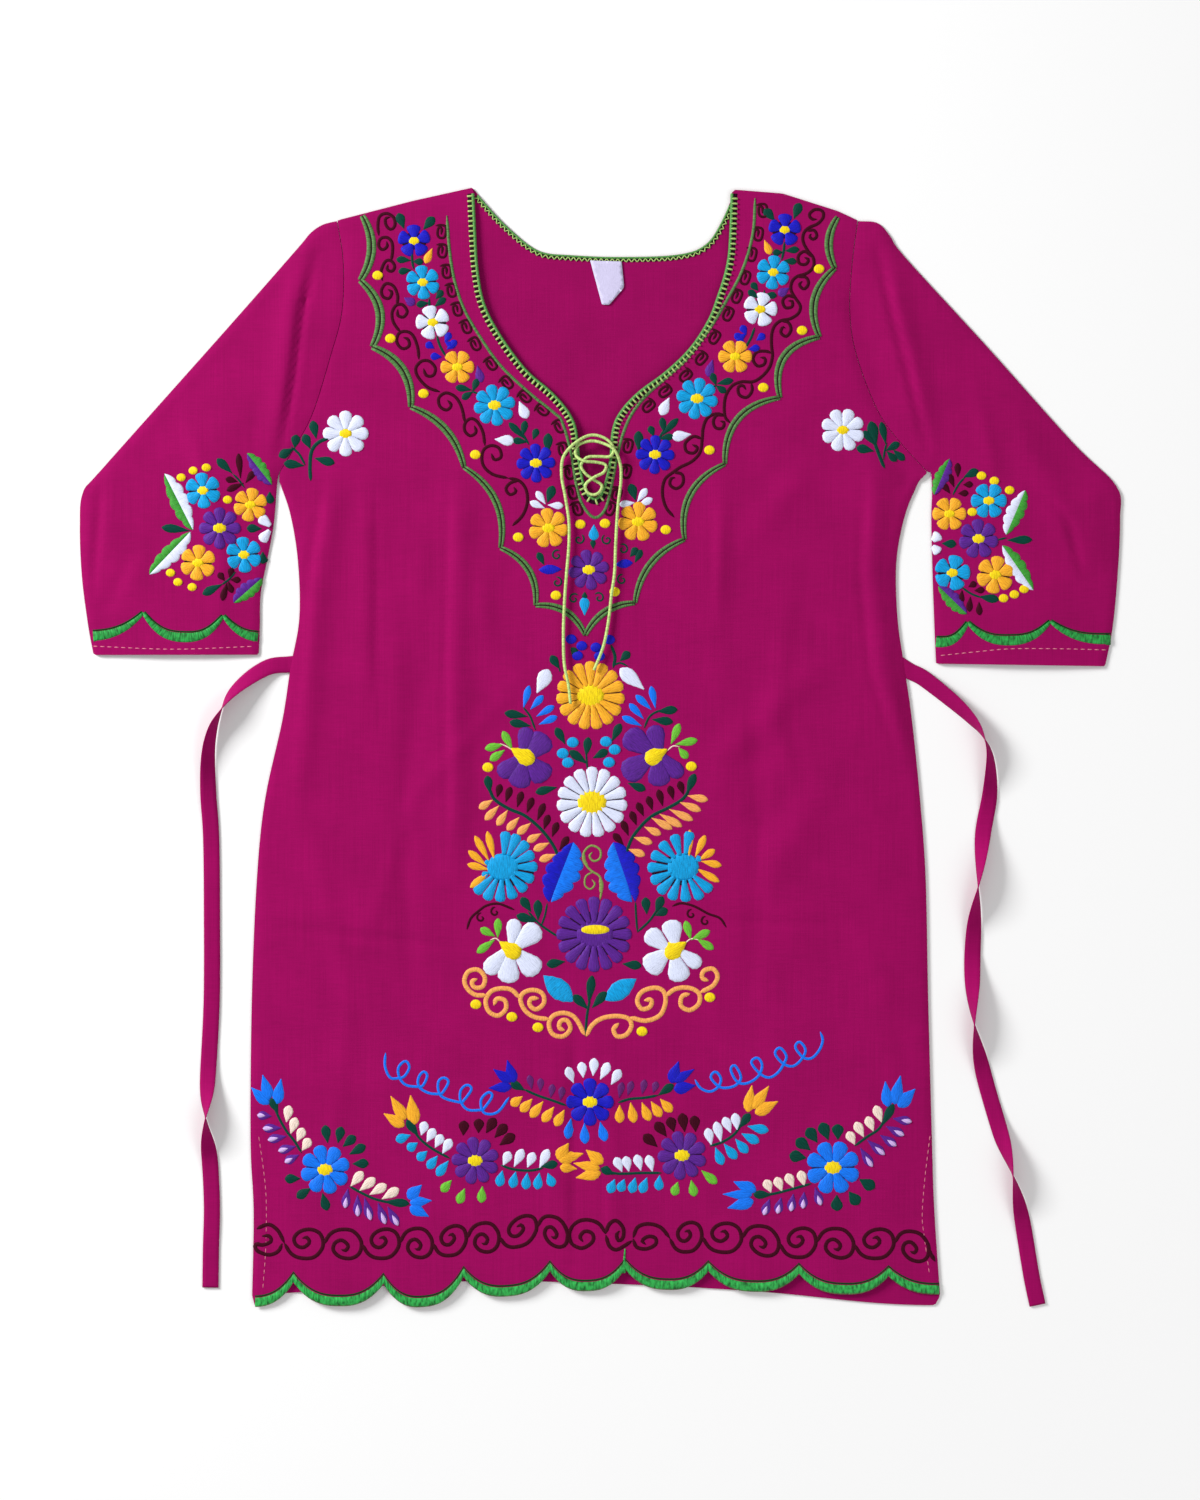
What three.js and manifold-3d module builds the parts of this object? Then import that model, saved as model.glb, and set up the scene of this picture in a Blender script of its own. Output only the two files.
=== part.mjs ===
// A straight Mexican dress with a deep laced V neck, three-quarter sleeves, two waist ties,
// scalloped hem and embroidered flowers, laid out flat with its front up.
// Millimetres. X runs across the dress, +Y runs up to the neck, +Z up from the surface it lies on.
// "left" and "right" are as seen from above. The origin is the centre of its outline, on the surface.
import * as THREE from "three";
import { mergeVertices } from "three/addons/utils/BufferGeometryUtils.js";
import Module from "manifold-3d";

const wasm = await Module();
wasm.setup();

// ---------------------------------------------------------------- driving dimensions

const WALL = 1.0; // one layer of cloth, with its turned edges
const SEAM_GAP = 0.3; // clearance between pieces that are sewn to each other
const LOFT = 1.7; // how far the upper layer lifts off the lower one in the middle
const LOFT_REACH = 55; // distance from the outline at which it has lifted fully
const HELD_EDGE = 12; // folds flatten out this close to a seam or a folded edge
const HEIGHT_LIMIT = 60; // above everything

const CELL_X = 16; // grid that carries the folds of the upper layer
const CELL_Y = 45;
const FIELD = { left: -434, right: 434, bottom: -455, top: 455 };

const TRIM_WIDTH = 6.5; // crochet edge round the neck
const TRIM_THICK = 1.0;
const STITCH_THICK = 0.9; // raised satin stitch of a flower
const EDGING_THICK = 0.8; // satin stitched borders
const YOKE_LINE = 6.5; // width of the double line round the yoke

const TIE_WIDTH = 13;
const TIE_THICK = 1.2;
const TIE_STEPS = 40;
const LACE_DIAMETER = 2.4;
const LACE_STEPS = 80;
const LACE_SIDES = 8;

const MAGENTA = "#a01a62";
const GREEN = "#5fb04a";
const LIME = "#a9cf7c";
const COLOURS = {
  royal: "#1c22cc",
  turquoise: "#1f9fd6",
  blue: "#2a8cf0",
  white: "#f3f2fa",
  orange: "#f2a92b",
  purple: "#5a2a9c",
};

// ---------------------------------------------------------------- the cut, section by section

// Seam from the shoulder point down to the underarm.
const ARMHOLE = [
  { y: 423.5, left: -210, right: 206 },
  { y: 390, left: -205, right: 201.5 },
  { y: 350, left: -206, right: 199.5 },
  { y: 315, left: -215, right: 205 },
  { y: 270, left: -229, right: 222.5 },
  { y: 243, left: -243, right: 242.5 },
  { y: 222, left: -256, right: 262 },
];

// Side seams from the underarm to the hem. The side vents start below the hip.
const SIDES = [
  { y: 215, left: -256.5, right: 255 },
  { y: 188, left: -247.5, right: 244 },
  { y: 150, left: -241.5, right: 237 },
  { y: 105, left: -240.5, right: 238 },
  { y: 66, left: -247.5, right: 243.5 },
  { y: 24, left: -254, right: 249.5 },
  { y: -40, left: -268, right: 256 },
  { y: -104, left: -274.5, right: 260.5 },
  { y: -200, left: -278.5, right: 262.5 },
  { y: -312, left: -279.5, right: 265.5 },
  { y: -370, left: -277, right: 267.5 },
  { y: -450, left: -278.5, right: 273 },
];

// The shoulder seams, from the neck outwards.
const SHOULDERS = [
  { x: -102.4, y: 449.6, side: "left" },
  { x: -150, y: 439, side: "left" },
  { x: 108, y: 448, side: "right" },
  { x: 146, y: 445, side: "right" },
  { x: 190, y: 431, side: "right" },
];

// Both edges of the V neck and of the slit below it.
const V_NECK = [
  { y: 462, left: -101.5, right: 105 },
  { y: 413, left: -99.2, right: 103.6 },
  { y: 387, left: -97.6, right: 101 },
  { y: 362, left: -93.6, right: 93.5 },
  { y: 343, left: -85.9, right: 86 },
  { y: 321, left: -72, right: 71.5 },
  { y: 302, left: -56.8, right: 51.8 },
  { y: 286.5, left: -38.7, right: 31 },
  { y: 271, left: -25.2, right: 16.5 },
  { y: 256, left: -18.6, right: 9.8 },
  { y: 232, left: -16, right: 7.6 },
  { y: 215, left: -12.8, right: 4.2 },
  { y: 204, left: -8.6, right: 0.2 },
];
const SLIT_END = { x: -4.2, y: 201 };

// The shallow curve of the back neck.
const BACK_NECK = [
  { x: -110, y: 459 },
  { x: -85.9, y: 430.8 },
  { x: -72, y: 416.8 },
  { x: -56.8, y: 404 },
  { x: -44, y: 397.8 },
  { x: -25.9, y: 396 },
  { x: 12, y: 394.4 },
  { x: 60, y: 396 },
  { x: 84, y: 404 },
  { x: 98.6, y: 425.6 },
  { x: 112, y: 459 },
];

// Outer folded edge of each sleeve, from the shoulder point to the cuff.
const SLEEVE_OUTER_LEFT = [
  { x: -210.6, y: 423 },
  { x: -222, y: 420 },
  { x: -232, y: 413 },
  { x: -242, y: 401 },
  { x: -300, y: 335 },
  { x: -398, y: 225 },
  { x: -413.5, y: 206 },
  { x: -416, y: 180 },
  { x: -414.5, y: 140 },
  { x: -409.6, y: 101 },
  { x: -405, y: 76 },
];
const SLEEVE_OUTER_RIGHT = [
  { x: 206.6, y: 423 },
  { x: 222, y: 421.5 },
  { x: 232, y: 411 },
  { x: 244, y: 394 },
  { x: 310, y: 322 },
  { x: 378, y: 246 },
  { x: 413, y: 211 },
  { x: 416, y: 185 },
  { x: 414, y: 140 },
  { x: 410, y: 98 },
  { x: 404, y: 67 },
];

// Inner folded edge of each sleeve, from the underarm to the cuff.
const SLEEVE_INNER_LEFT = [
  { x: -257.6, y: 219 },
  { x: -258.6, y: 208 },
  { x: -261, y: 180 },
  { x: -266.4, y: 151 },
  { x: -271.4, y: 125 },
  { x: -272, y: 100 },
  { x: -272.9, y: 76.2 },
];
const SLEEVE_INNER_RIGHT = [
  { x: 265, y: 222 },
  { x: 265.6, y: 205 },
  { x: 265, y: 185 },
  { x: 266, y: 140 },
  { x: 267.5, y: 98 },
  { x: 268.8, y: 69 },
];

// Scallops of the front hem: a cusp, and how deep the scallop to its right hangs below it.
const HEM_SCALLOPS = [
  { x: -312, y: -418, depth: 27 },
  { x: -245, y: -418, depth: 25.5 },
  { x: -173, y: -419, depth: 28.5 },
  { x: -109, y: -413.5, depth: 25 },
  { x: -40, y: -409, depth: 24 },
  { x: 20, y: -407, depth: 23 },
  { x: 86.5, y: -409, depth: 22.5 },
  { x: 159, y: -411, depth: 22.5 },
  { x: 230.5, y: -413, depth: 22 },
  { x: 312, y: -413, depth: 0 },
];
const HEM_EDGING = { atCusp: 2, atBottom: 7.3 };

// The back hem is cut straight, and shows where the scallops rise.
const BACK_HEM = [
  { x: -300, y: -436 },
  { x: -245, y: -434 },
  { x: -109, y: -425 },
  { x: 24, y: -427.5 },
  { x: 131, y: -433.5 },
  { x: 217, y: -442 },
  { x: 268, y: -444 },
  { x: 300, y: -441 },
];

// Satin scallops stitched above each cuff.
const CUFF_LEFT = [
  { x: -452, y: 105, depth: 15 },
  { x: -365, y: 109.6, depth: 24 },
  { x: -301, y: 107.2, depth: 22 },
  { x: -236, y: 107, depth: 0 },
];
const CUFF_RIGHT = [
  { x: 250, y: 103, depth: 14 },
  { x: 293.6, y: 101.6, depth: 17 },
  { x: 359, y: 103, depth: 15.5 },
  { x: 450, y: 103, depth: 0 },
];
const CUFF_LINE = 3.6;

// Cusps of the double satin line round the yoke, from one shoulder to the other.
const YOKE_CUSPS = [
  { x: -190.9, y: 427.2, bulge: 1 },
  { x: -191.4, y: 375.2, bulge: 5 },
  { x: -182.6, y: 321.9, bulge: 7 },
  { x: -151.5, y: 274.6, bulge: 8 },
  { x: -108.6, y: 225.8, bulge: 8 },
  { x: -79, y: 162.1, bulge: 7 },
  { x: -50.9, y: 116.2, bulge: 5 },
  { x: -11.8, y: 92.6, bulge: 5 },
  { x: 27.6, y: 117.7, bulge: 7 },
  { x: 67.5, y: 168, bulge: 8 },
  { x: 100, y: 231.7, bulge: 8 },
  { x: 143, y: 282, bulge: 7 },
  { x: 175.5, y: 330.8, bulge: 6 },
  { x: 187.4, y: 384.1, bulge: 2 },
  { x: 189.8, y: 428.1, bulge: 0 },
];

// Raised folds of the upper layer: height and half-width of each ridge.
const FOLDS = [
  { at: "left bust", height: 2.6, width: 11, path: [[-212, 218], [-229, 110], [-241, -50]] },
  { at: "left ribs", height: 1.6, width: 11, path: [[-186, 213], [-186, 30]] },
  { at: "left waist", height: 1.5, width: 10, path: [[-166, 121], [-160, 18]] },
  { at: "left princess", height: 2.8, width: 12, path: [[-112, 218], [-116, 60], [-116, -96]] },
  { at: "beside the yoke", height: 1.6, width: 9, path: [[-93, 155], [-93, 70]] },
  { at: "right princess", height: 2.4, width: 9, path: [[96, 213], [94, 98]] },
  { at: "right bust", height: 2, width: 12, path: [[174, 235], [117, 167]] },
  { at: "right side", height: 2.8, width: 11, path: [[219, 224], [216, 144], [225, 64], [246, -5]] },
  { at: "right hip", height: 1.6, width: 14, path: [[185, -22], [117, -125]] },
  { at: "right waist", height: 1.8, width: 12, path: [[179, 70], [99, -5], [94, -50]] },
  { at: "packing crease left", height: 1.4, width: 20, path: [[-278, -130], [-106, -150]] },
  { at: "packing crease right", height: 1.2, width: 20, path: [[80, -128], [200, -132]] },
  { at: "left hem", height: 1.2, width: 12, path: [[-36, -222], [-30, -420]] },
  { at: "right hem", height: 1.4, width: 12, path: [[6, -222], [8, -420]] },
  { at: "left sleeve cap", height: 3, width: 11, path: [[-236, 400], [-247, 350], [-252, 297], [-261, 232]] },
  { at: "left elbow", height: 1.8, width: 13, path: [[-392, 214], [-396, 138]] },
  { at: "left forearm", height: 1.6, width: 13, path: [[-368, 170], [-384, 111]] },
  { at: "right sleeve cap", height: 3, width: 11, path: [[230, 405], [236, 363], [250, 297], [263, 244]] },
  { at: "right upper arm", height: 2, width: 13, path: [[325, 281], [362, 204], [383, 151]] },
  { at: "right elbow", height: 1.6, width: 13, path: [[392, 214], [398, 140]] },
];
const FOLD_FADE = 45; // a fold grows to its full height over this length
const FOLD_END = 0.3; // share of its height that it starts with

// Flowers of the yoke, in pairs down both sides. Their centres differ a little left and right.
const YOKE_FLOWERS = [
  { colour: "royal", petals: 6, radius: 14, left: [-149.6, 408], right: [148, 416] },
  { colour: "turquoise", petals: 6, radius: 14, left: [-143.2, 373.6], right: [138.4, 381.6] },
  { colour: "white", petals: 6, radius: 13.5, left: [-133.6, 341.6], right: [128.8, 352] },
  { colour: "orange", petals: 6, radius: 14, left: [-114.4, 306.4], right: [108, 314.4] },
  { colour: "turquoise", petals: 8, radius: 17, left: [-84.8, 275.2], right: [77.6, 280.8] },
  { colour: "royal", petals: 8, radius: 16, left: [-51.2, 229.6], right: [44, 236] },
  { colour: "orange", petals: 7, radius: 15.5, left: [-40.8, 178.4], right: [30.4, 182.4] },
];

// Single flowers.
const FLOWERS = [
  { name: "yoke_flower_centre", colour: "purple", petals: 8, radius: 16, at: [-7.2, 144] },
  { name: "daisy_left", colour: "white", petals: 8, radius: 18.4, at: [-203.2, 252] },
  { name: "daisy_right", colour: "white", petals: 8, radius: 17.6, at: [194, 255.2] },
  { name: "medallion_orange", colour: "orange", petals: 14, radius: 28, at: [-8, 43.2] },
  { name: "medallion_purple_left", colour: "purple", petals: 6, radius: 22.4, at: [-59.5, -6] },
  { name: "medallion_purple_right", colour: "purple", petals: 6, radius: 22.4, at: [42.4, -4.8] },
  { name: "medallion_white", colour: "white", petals: 14, radius: 28.5, at: [-6.4, -41.6] },
  { name: "medallion_purple", colour: "purple", petals: 16, radius: 30, at: [-4.8, -143.2] },
  { name: "medallion_blossom_left", colour: "white", petals: 5, radius: 23.2, at: [-69.2, -160.8] },
  { name: "medallion_blossom_right", colour: "white", petals: 5, radius: 23.2, at: [57.2, -160.8] },
  { name: "hem_flower_left", colour: "blue", petals: 8, radius: 19.2, at: [-219.2, -335.2] },
  { name: "hem_flower_purple_left", colour: "purple", petals: 8, radius: 19, at: [-99.6, -328] },
  { name: "hem_flower_centre", colour: "royal", petals: 8, radius: 19.2, at: [-8.8, -280.8] },
  { name: "hem_flower_purple_right", colour: "purple", petals: 8, radius: 19, at: [64.8, -324] },
  { name: "hem_flower_right", colour: "blue", petals: 8, radius: 19.2, at: [186.4, -333.6] },
  { name: "sleeve_left_turquoise", colour: "turquoise", petals: 7, radius: 15, at: [-316.8, 207.2] },
  { name: "sleeve_left_purple", colour: "purple", petals: 8, radius: 17.6, at: [-304, 177.6] },
  { name: "sleeve_left_orange", colour: "orange", petals: 7, radius: 14.5, at: [-320.8, 150.4] },
  { name: "sleeve_right_turquoise", colour: "turquoise", petals: 7, radius: 14, at: [310, 199.2] },
  { name: "sleeve_right_purple", colour: "purple", petals: 8, radius: 15.5, at: [302.4, 168.8] },
  { name: "sleeve_right_orange", colour: "orange", petals: 7, radius: 14.5, at: [316, 140] },
];

// A fan has its petals on part of a turn only, round its heading in degrees.
const FAN = { colour: "turquoise", petals: 9, radius: 25, fan: 250 };
const FANS = [
  { name: "medallion_fan_left", at: [-72, -96], heading: -35 },
  { name: "medallion_fan_right", at: [60, -96], heading: 215 },
];
const LEAVES = [
  { name: "medallion_leaf_left", root: [-41, -122.4], tip: [-21.6, -74.4], width: 15 },
  { name: "medallion_leaf_right", root: [28.8, -122.4], tip: [10.4, -73.6], width: 15 },
];

// Centre line of each waist tie. It turns over where its roll, in degrees, changes.
const TIE_LEFT = [
  { x: -249.3, y: 68.4, roll: 0 },
  { x: -264, y: 66.6, roll: 0 },
  { x: -280, y: 57.6, roll: 0 },
  { x: -294.4, y: 44.8, roll: 10 },
  { x: -303, y: 31, roll: 90 },
  { x: -309.5, y: 16, roll: 170 },
  { x: -313, y: -4, roll: 180 },
  { x: -313.2, y: -34, roll: 180 },
  { x: -311, y: -70, roll: 180 },
  { x: -310.4, y: -130, roll: 180 },
  { x: -310.6, y: -200, roll: 180 },
  { x: -313.6, y: -262, roll: 190 },
  { x: -314.9, y: -296, roll: 270 },
  { x: -312, y: -328, roll: 350 },
  { x: -310.4, y: -365, roll: 360 },
  { x: -311.2, y: -400, roll: 360 },
  { x: -311.6, y: -430, roll: 360 },
];
const TIE_RIGHT = [
  { x: 248, y: 63, roll: 0 },
  { x: 259.2, y: 57, roll: 0 },
  { x: 282.4, y: 38.4, roll: 0 },
  { x: 297, y: 24, roll: 10 },
  { x: 306, y: 11, roll: 90 },
  { x: 311.5, y: -6, roll: 170 },
  { x: 311.5, y: -36, roll: 180 },
  { x: 306, y: -68, roll: 190 },
  { x: 302.2, y: -106.4, roll: 270 },
  { x: 299, y: -140, roll: 350 },
  { x: 297.6, y: -180, roll: 370 },
  { x: 298.6, y: -216.8, roll: 450 },
  { x: 306, y: -256, roll: 530 },
  { x: 319, y: -302, roll: 550 },
  { x: 329.1, y: -337.6, roll: 630 },
  { x: 337.6, y: -376, roll: 710 },
  { x: 345, y: -420, roll: 720 },
  { x: 350, y: -444, roll: 720 },
];

// Route of the neck lace from one free end to the other, through the slit and back.
// rest is the height of its underside over the front panel: it climbs where it crosses itself.
const LACE_ROUTE = [
  { x: -23.5, y: 36.8, rest: 2.2 },
  { x: -25.1, y: 51.4, rest: 2.2 },
  { x: -28.4, y: 68, rest: 2.2 },
  { x: -29.2, y: 92, rest: 1.6 },
  { x: -28.4, y: 116.8, rest: 1.6 },
  { x: -26.8, y: 139.6, rest: 1.6 },
  { x: -24.8, y: 164, rest: 1.6 },
  { x: -24.8, y: 182.4, rest: 1.6 },
  { x: -27.6, y: 201.6, rest: 1.6 },
  { x: -30.7, y: 219.6, rest: 1.6 },
  { x: -29.4, y: 233.5, rest: 2 },
  { x: -21.4, y: 243.5, rest: 4.8 },
  { x: -7.2, y: 251.3, rest: 2.2 },
  { x: 5.2, y: 248, rest: 2.2 },
  { x: 11, y: 240.5, rest: 2 },
  { x: 8.5, y: 234.6, rest: 2 },
  { x: -1.5, y: 234.2, rest: 2 },
  { x: -10.5, y: 233.4, rest: 2 },
  { x: -15.2, y: 227, rest: 2 },
  { x: -11.6, y: 220.6, rest: 2 },
  { x: -4.7, y: 215.5, rest: 2 },
  { x: 1.6, y: 211, rest: 2 },
  { x: -0.8, y: 205.4, rest: 2 },
  { x: -5.6, y: 203.6, rest: 2 },
  { x: -10.4, y: 206, rest: 2 },
  { x: -11.6, y: 211.6, rest: 2.6 },
  { x: -5, y: 217.2, rest: 4.9 },
  { x: 3.2, y: 221.8, rest: 3.4 },
  { x: 4.8, y: 227.2, rest: 2.4 },
  { x: -3, y: 229.6, rest: 2.6 },
  { x: -13.4, y: 230.6, rest: 4.9 },
  { x: -19.4, y: 235.4, rest: 3 },
  { x: -18.2, y: 242.6, rest: 2 },
  { x: -7.2, y: 246.6, rest: 2.2 },
  { x: 3.6, y: 244.2, rest: 3.4 },
  { x: 11.4, y: 239.4, rest: 4.9 },
  { x: 16.2, y: 228, rest: 2.4 },
  { x: 16.8, y: 216.3, rest: 1.6 },
  { x: 14.4, y: 195.2, rest: 1.6 },
  { x: 12.6, y: 166, rest: 1.6 },
  { x: 11.6, y: 141.2, rest: 1.6 },
  { x: 9.1, y: 123.2, rest: 1.6 },
  { x: 6.7, y: 102.4, rest: 1.6 },
  { x: 2.6, y: 82.4, rest: 2.2 },
  { x: -4.8, y: 63.7, rest: 2.2 },
];

const LABEL = { corners: [[-7.2, 388.2], [17.6, 387.6], [19.2, 369.6], [7.4, 356], [1.6, 356]], thick: 0.5 };

// ---------------------------------------------------------------- lines and outlines

const point = (row) => new THREE.Vector2(row.x, row.y);

function smoothLine(points, stepsPerSpan = 3) {
  const curve = new THREE.SplineCurve(points);
  return curve.getPoints((points.length - 1) * stepsPerSpan);
}

function edgeOf(sections, side, stepsPerSpan = 3) {
  return smoothLine(sections.map((row) => new THREE.Vector2(row[side], row.y)), stepsPerSpan);
}

// The line moved sideways by a distance, to the left of its direction when that is positive.
function offsetLine(line, distance) {
  return line.map((here, index) => {
    const before = line[Math.max(index - 1, 0)];
    const after = line[Math.min(index + 1, line.length - 1)];
    const along = after.clone().sub(before).normalize();
    return new THREE.Vector2(here.x - along.y * distance, here.y + along.x * distance);
  });
}

// Hanging scallops between the cusps, flat at the bottom and steep at the cusps.
function scallopLine(rows, deeper = 0, raise = 0, steps = 6) {
  const line = [];
  for (let i = 0; i < rows.length - 1; i += 1) {
    for (let step = 0; step < steps; step += 1) {
      const t = step / steps;
      const sag = (rows[i].depth + deeper) * (1 - Math.abs(2 * t - 1) ** 2.2);
      const y = THREE.MathUtils.lerp(rows[i].y, rows[i + 1].y, t);
      line.push(new THREE.Vector2(THREE.MathUtils.lerp(rows[i].x, rows[i + 1].x, t), y + raise - sag));
    }
  }
  line.push(new THREE.Vector2(rows.at(-1).x, rows.at(-1).y + raise));
  return line;
}

// Arcs between cusps that bulge towards the neck.
function yokeLine(steps = 4) {
  const line = [];
  for (let i = 0; i < YOKE_CUSPS.length - 1; i += 1) {
    const start = point(YOKE_CUSPS[i]);
    const span = point(YOKE_CUSPS[i + 1]).sub(start);
    const inward = new THREE.Vector2(-span.y, span.x).normalize();
    for (let step = 0; step < steps; step += 1) {
      const t = step / steps;
      const bulge = YOKE_CUSPS[i].bulge * 4 * t * (1 - t);
      line.push(start.clone().addScaledVector(span, t).addScaledVector(inward, bulge));
    }
  }
  line.push(point(YOKE_CUSPS.at(-1)));
  return line;
}

function ribbonOutline(line, width) {
  return [...offsetLine(line, width / 2), ...offsetLine(line, -width / 2).reverse()];
}

function flowerOutline({ petals, radius, at, fan = 360, heading = 90 }) {
  const notch = radius * (petals > 9 ? 0.84 : 0.66);
  const pitch = THREE.MathUtils.degToRad(fan) / petals;
  const start = THREE.MathUtils.degToRad(heading) - THREE.MathUtils.degToRad(fan) / 2;
  const outline = [];
  const add = (angle, reach) => {
    outline.push(new THREE.Vector2(at[0] + reach * Math.cos(angle), at[1] + reach * Math.sin(angle)));
  };
  for (let petal = 0; petal < petals; petal += 1) {
    add(start + petal * pitch, notch);
    add(start + (petal + 0.27) * pitch, radius);
    add(start + (petal + 0.73) * pitch, radius);
  }
  if (fan < 360) {
    add(start + petals * pitch, notch);
    add(THREE.MathUtils.degToRad(heading + 180), radius * 0.2);
  }
  return outline;
}

// A leaf with three saw teeth along each side.
function leafOutline({ root, tip, width }, teeth = 3) {
  const start = new THREE.Vector2(...root);
  const along = new THREE.Vector2(...tip).sub(start);
  const across = new THREE.Vector2(-along.y, along.x).normalize();
  const side = (sign) => {
    const line = [];
    for (let tooth = 0; tooth < teeth; tooth += 1) {
      const low = (tooth + 0.35) / (teeth + 0.4);
      const high = (tooth + 0.95) / (teeth + 0.4);
      const reach = (t) => (width / 2) * Math.sin(Math.PI * t) ** 0.7;
      line.push(start.clone().addScaledVector(along, low).addScaledVector(across, sign * reach(low) * 0.75));
      line.push(start.clone().addScaledVector(along, high).addScaledVector(across, sign * reach(high)));
    }
    return line;
  };
  return [start, ...side(-1), new THREE.Vector2(...tip), ...side(1).reverse()];
}

// ---------------------------------------------------------------- the lie of the upper layer

const armhole = { left: edgeOf(ARMHOLE, "left"), right: edgeOf(ARMHOLE, "right") };
const sides = { left: edgeOf(SIDES, "left", 2), right: edgeOf(SIDES, "right", 2) };
const shoulder = (side) => SHOULDERS.filter((row) => row.side === side).map(point);

const bodyOutline = [
  ...shoulder("left"),
  ...armhole.left,
  ...sides.left,
  ...sides.right.toReversed(),
  ...armhole.right.toReversed(),
  ...shoulder("right").reverse(),
];
const frontOpening = [
  ...edgeOf(V_NECK, "left", 2),
  point(SLIT_END),
  ...edgeOf(V_NECK, "right", 2).reverse(),
];
const backNeck = smoothLine(BACK_NECK.map(point), 2);

const sleeves = {
  left: {
    outer: smoothLine(SLEEVE_OUTER_LEFT.map(point), 2),
    inner: smoothLine(SLEEVE_INNER_LEFT.map(point), 2),
    armhole: armhole.left.map((p) => new THREE.Vector2(p.x - 1.5 * SEAM_GAP, p.y)),
    outward: -1,
  },
  right: {
    outer: smoothLine(SLEEVE_OUTER_RIGHT.map(point), 2),
    inner: smoothLine(SLEEVE_INNER_RIGHT.map(point), 2),
    armhole: armhole.right.map((p) => new THREE.Vector2(p.x + 1.5 * SEAM_GAP, p.y)),
    outward: 1,
  },
};

// The edge along which the two layers are joined: neck, shoulders, sleeves and sides.
const joinedEdges = [
  backNeck.slice(2, -2),
  [...shoulder("left"), ...sleeves.left.outer],
  [...shoulder("right"), ...sleeves.right.outer],
  sleeves.left.inner,
  sleeves.right.inner,
  sides.left,
  sides.right,
];

// The point of a path that is nearest to (x, y): how far off it is, and how far along the path.
function nearestOnPath(x, y, path) {
  let travelled = 0;
  let nearest = { distance: Infinity, along: 0 };
  for (let i = 0; i < path.length - 1; i += 1) {
    const [dx, dy] = [path[i + 1].x - path[i].x, path[i + 1].y - path[i].y];
    const length = Math.hypot(dx, dy);
    const share = ((x - path[i].x) * dx + (y - path[i].y) * dy) / length ** 2;
    const t = THREE.MathUtils.clamp(share, 0, 1);
    const distance = Math.hypot(x - path[i].x - t * dx, y - path[i].y - t * dy);
    if (distance < nearest.distance) {
      nearest = { distance, along: travelled + t * length };
    }
    travelled += length;
  }
  return { ...nearest, fromEnd: Math.min(nearest.along, travelled - nearest.along) };
}

const foldLines = FOLDS.map(({ path }) => path.map(([x, y]) => new THREE.Vector2(x, y)));

// A ridge with a round top, which is lower towards both ends.
function ridge(x, y, { height, width }, line) {
  const { distance, fromEnd } = nearestOnPath(x, y, line);
  const strength = FOLD_END + (1 - FOLD_END) * THREE.MathUtils.smoothstep(fromEnd, 0, FOLD_FADE);
  return height * strength * Math.exp(-((distance / width) ** 2));
}

// Height of the underside of the upper layer over the surface that the dress lies on.
function underside(x, y) {
  const inside = Math.min(...joinedEdges.map((edge) => nearestOnPath(x, y, edge).distance));
  const lift = THREE.MathUtils.smoothstep(inside, 0, LOFT_REACH);
  const held = THREE.MathUtils.smoothstep(inside, 0, HELD_EDGE);
  const folds = FOLDS.reduce((sum, fold, index) => sum + ridge(x, y, fold, foldLines[index]), 0);
  return WALL + SEAM_GAP + LOFT * lift + held * folds;
}

// ---------------------------------------------------------------- solids

function solidOf(geometry) {
  geometry.deleteAttribute("normal");
  geometry.deleteAttribute("uv");
  const merged = mergeVertices(geometry, 1e-4);
  return new wasm.Manifold(new wasm.Mesh({
    numProp: 3,
    vertProperties: new Float32Array(merged.attributes.position.array),
    triVerts: new Uint32Array(merged.index.array),
  }));
}

function prism(outline, from = -1, to = HEIGHT_LIMIT) {
  const options = { depth: to - from, bevelEnabled: false, steps: 1 };
  const geometry = new THREE.ExtrudeGeometry(new THREE.Shape(outline), options);
  geometry.translate(0, 0, from);
  return solidOf(geometry);
}

const columns = Math.round((FIELD.right - FIELD.left) / CELL_X);
const rows = Math.round((FIELD.top - FIELD.bottom) / CELL_Y);
const gridX = (i) => THREE.MathUtils.lerp(FIELD.left, FIELD.right, i / columns);
const gridY = (j) => THREE.MathUtils.lerp(FIELD.bottom, FIELD.top, j / rows);
const fieldHeights = [];
for (let j = 0; j <= rows; j += 1) {
  fieldHeights.push(Array.from({ length: columns + 1 }, (_, i) => underside(gridX(i), gridY(j))));
}

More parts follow.
